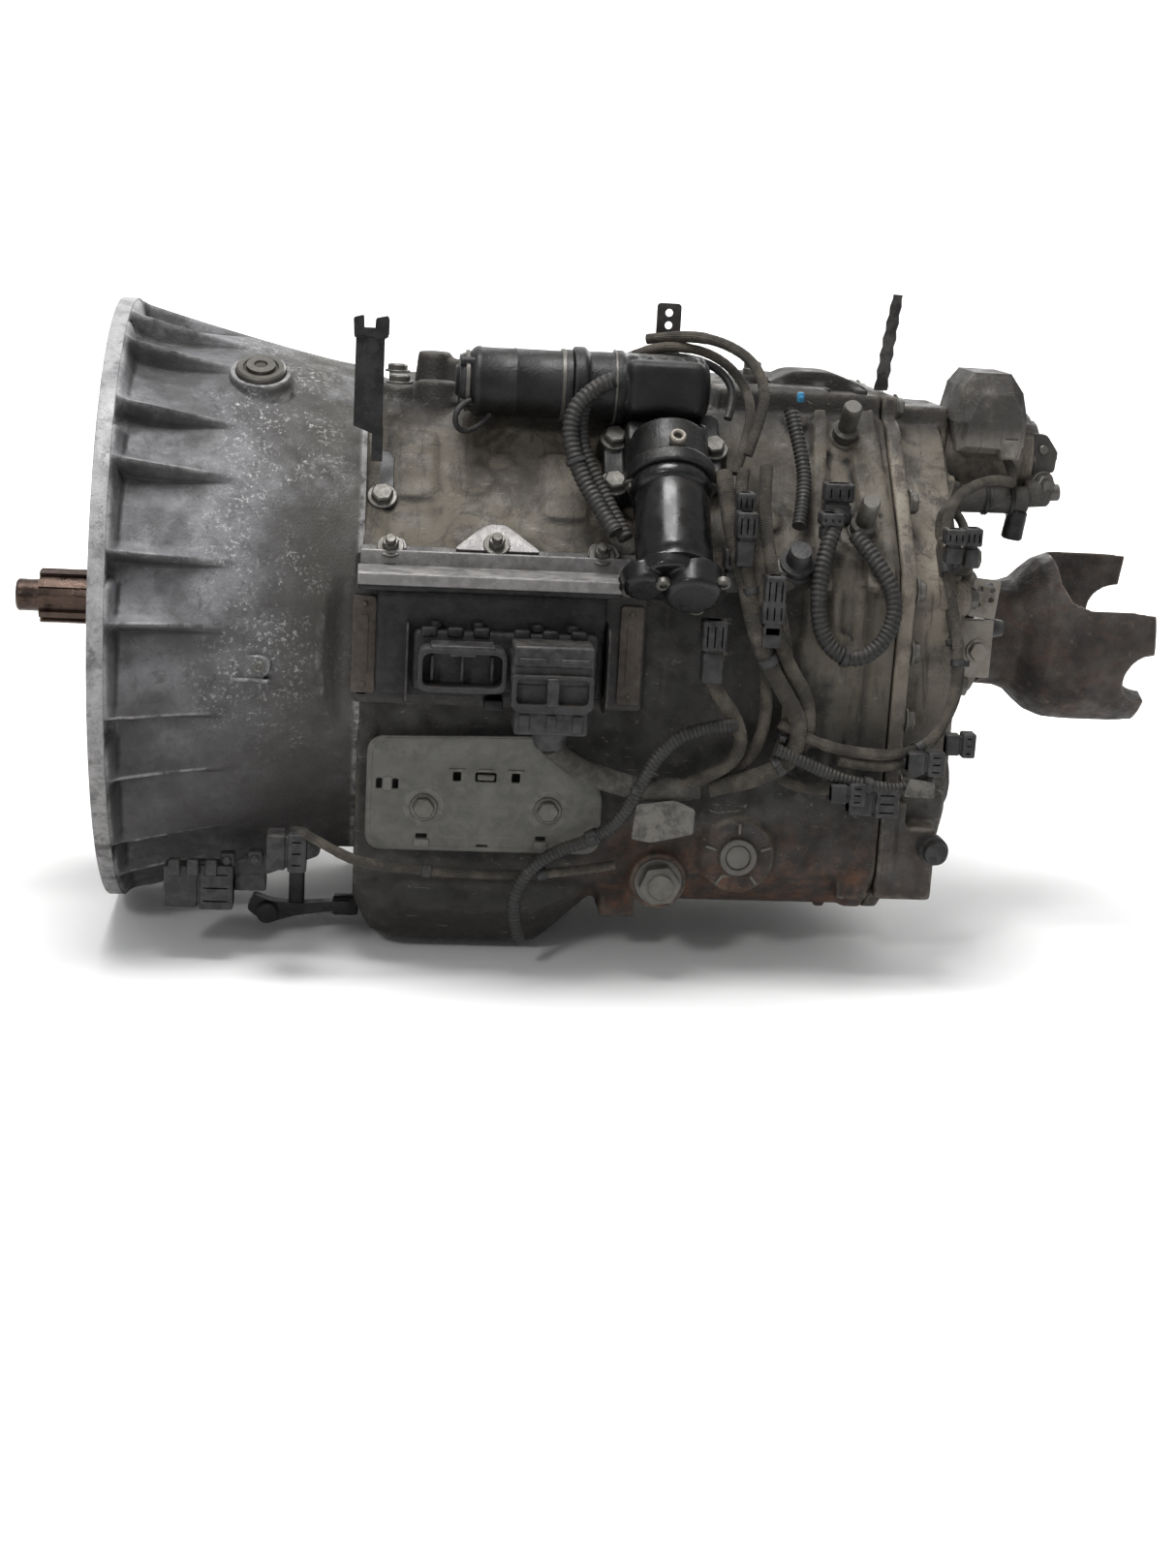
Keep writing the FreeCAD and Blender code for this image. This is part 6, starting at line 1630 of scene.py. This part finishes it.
# Further ones that the CAD doesn't have, between its leads.
EXTRA_CONNECTORS = [
    ((512, -264, -8), (21, 20, 54), "Z"),
    ((531, -236, 66), (19, 18, 38), "Z"),
    ((563, -262, 34), (18, 17, 52), "Z"),
    ((538, -236, 118), (16, 18, 34), "Z"),
    ((634, -264, -112), (30, 16, 20), "X"),
    ((726, -216, 96), (18, 18, 30), "Z"),
    ((746, -204, 92), (16, 18, 34), "Z"),
    ((700, -262, -84), (32, 18, 22), "X"),
    ((736, -246, -70), (26, 16, 22), "X"),
    ((622, -190, 124), (26, 18, 34), "Z"),
    ((640, -184, 108), (20, 16, 22), "Z"),
]


def connector(bm, low, size, axis):
    """A two-part connector housing with ribs, latch and seal collar."""
    low, size = Vector(low), Vector(size)
    high = low + size
    index = "XYZ".index(axis)
    middle = (low[index] + high[index]) / 2
    first_high, second_low = high.copy(), low.copy()
    first_high[index] = middle - 1
    second_low[index] = middle + 1
    inset = Vector((1.6, 1.6, 1.6))
    inset[index] = 0
    block(bm, low + inset, first_high - inset, 1.6)
    block(bm, second_low, high, 2)
    neck_low, neck_high = low + inset * 2, high - inset * 2
    block(bm, neck_low, neck_high, 1)
    for share in (0.2, 0.5, 0.8):
        rib_low, rib_high = second_low.copy(), high.copy()
        across = "Z" if axis == "X" else "X"
        k = "XYZ".index(across)
        rib_low[k] = low[k] + share * size[k] - 1.2
        rib_high[k] = rib_low[k] + 2.4
        rib_high[1] = low[1] + 3
        rib_low[index] += 3
        rib_high[index] -= 4
        block(bm, rib_low, rib_high, 0.6)


def harness_connectors():
    """The connectors and stacked housings in the harness."""
    for name, places, replaced in (("harness_connector_set", CONNECTORS, ["harness_connectors"]),
                                   ("lead_connectors", EXTRA_CONNECTORS, [])):
        bm = bmesh.new()
        for low, size, axis in places:
            connector(bm, low, size, axis)
        finished(name, bm, PLASTIC, "connector_plastic", replaced)


# ---------------------------------------------------------------- CAD nodes that stay visible

KEPT = {
    GEAR_STEEL: [
        "shaft_bearings", "drive_gear", "upper_countershaft", "lower_countershaft",
        "upper_countershaft_gears", "lower_countershaft_gears", "overdrive_gear", "third_gear",
        "second_gear", "first_gear", "reverse_gear", "upper_reverse_idler", "lower_reverse_idler",
        "idler_axles", "mainshaft", "thrust_washers", "aux_drive_gear", "front_sliding_clutch",
        "middle_sliding_clutch", "rear_sliding_clutch", "upper_aux_countershaft", "lower_aux_countershaft",
        "range_low_gear", "range_clutch", "output_shaft",
    ],
    LINKAGE_STEEL: [
        "front_shift_rail", "middle_shift_rail", "rear_shift_rail", "select_carriage", "shift_finger",
        "range_shift_bar", "release_shaft", "release_fork",
    ],
    INPUT_STEEL: ["input_shaft"],
    DARK_BOLT: ["yoke_nut"],
    REAR_CASE: ["input_bearing_cover"],
}


def finish_kept_nodes():
    """Give the CAD nodes that stay visible their finish."""
    for finish, names in KEPT.items():
        for name in names:
            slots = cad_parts[name].data.materials
            slots.clear()
            slots.append(finish)


# ---------------------------------------------------------------- stage

CAMERA_PLACE = Vector((0.2211, -2.1666, 0.3820))
CAMERA_LOOK = Vector((0.1016, 0.9645, -0.2437)).normalized()
CAMERA_ROLL = math.radians(3.2531)
CAMERA_LENS = 52.95

# Each light: place, the point it looks at, size and power.
LIGHTS = {
    "overhead": ((0.1, -0.5, 2.3), (0.4, -0.05, 0.0), 1.1, 66),
    "front_left": ((-0.9, -2.6, 1.5), (0.3, -0.1, 0.0), 0.35, 20),
    "rear": ((1.6, 2.2, 1.6), (0.4, 0, 0), 1.4, 30),
    "backdrop": ((0.4, 2.0, 3.5), (0.4, 5.5, 1.5), 3.0, 320),
}


def make_camera():
    """The camera: near side on, a little above the shaft line and slightly rolled."""
    data = bpy.data.cameras.new("camera")
    camera = linked(bpy.data.objects.new("camera", data))
    level = CAMERA_LOOK.cross(Vector((0, 0, 1))).normalized()
    upright = level.cross(CAMERA_LOOK)
    right = level * math.cos(CAMERA_ROLL) + upright * math.sin(CAMERA_ROLL)
    up = upright * math.cos(CAMERA_ROLL) - level * math.sin(CAMERA_ROLL)
    turn = Matrix((right, up, -CAMERA_LOOK)).transposed()
    camera.matrix_world = Matrix.Translation(CAMERA_PLACE) @ turn.to_4x4()
    data.sensor_fit = "AUTO"
    data.sensor_width = 36
    data.lens = CAMERA_LENS
    data.clip_start = 0.05
    data.clip_end = 60
    bpy.context.scene.camera = camera


def area_light(name, place, target, size, power):
    """A soft square light looking at a point."""
    data = bpy.data.lights.new(name, "AREA")
    data.size = size
    data.energy = power
    light = linked(bpy.data.objects.new(name, data))
    light.location = place
    light.rotation_mode = "QUATERNION"
    light.rotation_quaternion = (Vector(target) - Vector(place)).to_track_quat("-Z", "Y")


def make_stage():
    """Pale floor that sweeps up behind, pale surroundings and soft lights."""
    bm = bmesh.new()
    bend = [math.radians(angle) for angle in range(10, 91, 10)]
    sweep = [(-12, 0), (4, 0), *((4 + 2 * math.sin(a), 2 - 2 * math.cos(a)) for a in bend), (6, 10)]
    rows = [[bm.verts.new((x, y, z)) for x in (-12, 12)] for y, z in sweep]
    for lower, upper in zip(rows, rows[1:]):
        bm.faces.new([lower[0], lower[1], upper[1], upper[0]])
    floor = mesh_object("floor", bm)
    floor.data.shade_smooth()
    floor.data.materials.append(floor_finish())
    floor.location = (0.4, 0, cad_box[0].z - 0.001)
    world = bpy.data.worlds.new("surroundings")
    bpy.context.scene.world = world
    world.use_nodes = True
    sky = world.node_tree.nodes["Background"].inputs
    sky["Color"].default_value = (0.97, 0.98, 1.0, 1)
    sky["Strength"].default_value = 0.42
    for name, (place, target, size, power) in LIGHTS.items():
        area_light(name, place, target, size, power)
    bpy.context.scene.view_settings.view_transform = "Standard"


# ---------------------------------------------------------------- assembly

MAKERS = [
    make_camera, make_stage, finish_kept_nodes, clutch_housing, inspection_opening, bell_tab,
    case_casting, housing_casting, other_castings, top_ridge, actuator, rail_motor, select_motor,
    controller_bracket, controller, controller_plug, side_shield, strap_bracket, perforated_strips,
    range_shift_parts, studs_and_sensors, case_bolts, rear_cover_details, output_yoke, harness_leads,
    harness_clips, harness_connectors, lower_harness_brackets,
]
for make in MAKERS:
    make()

bpy.context.view_layer.update()
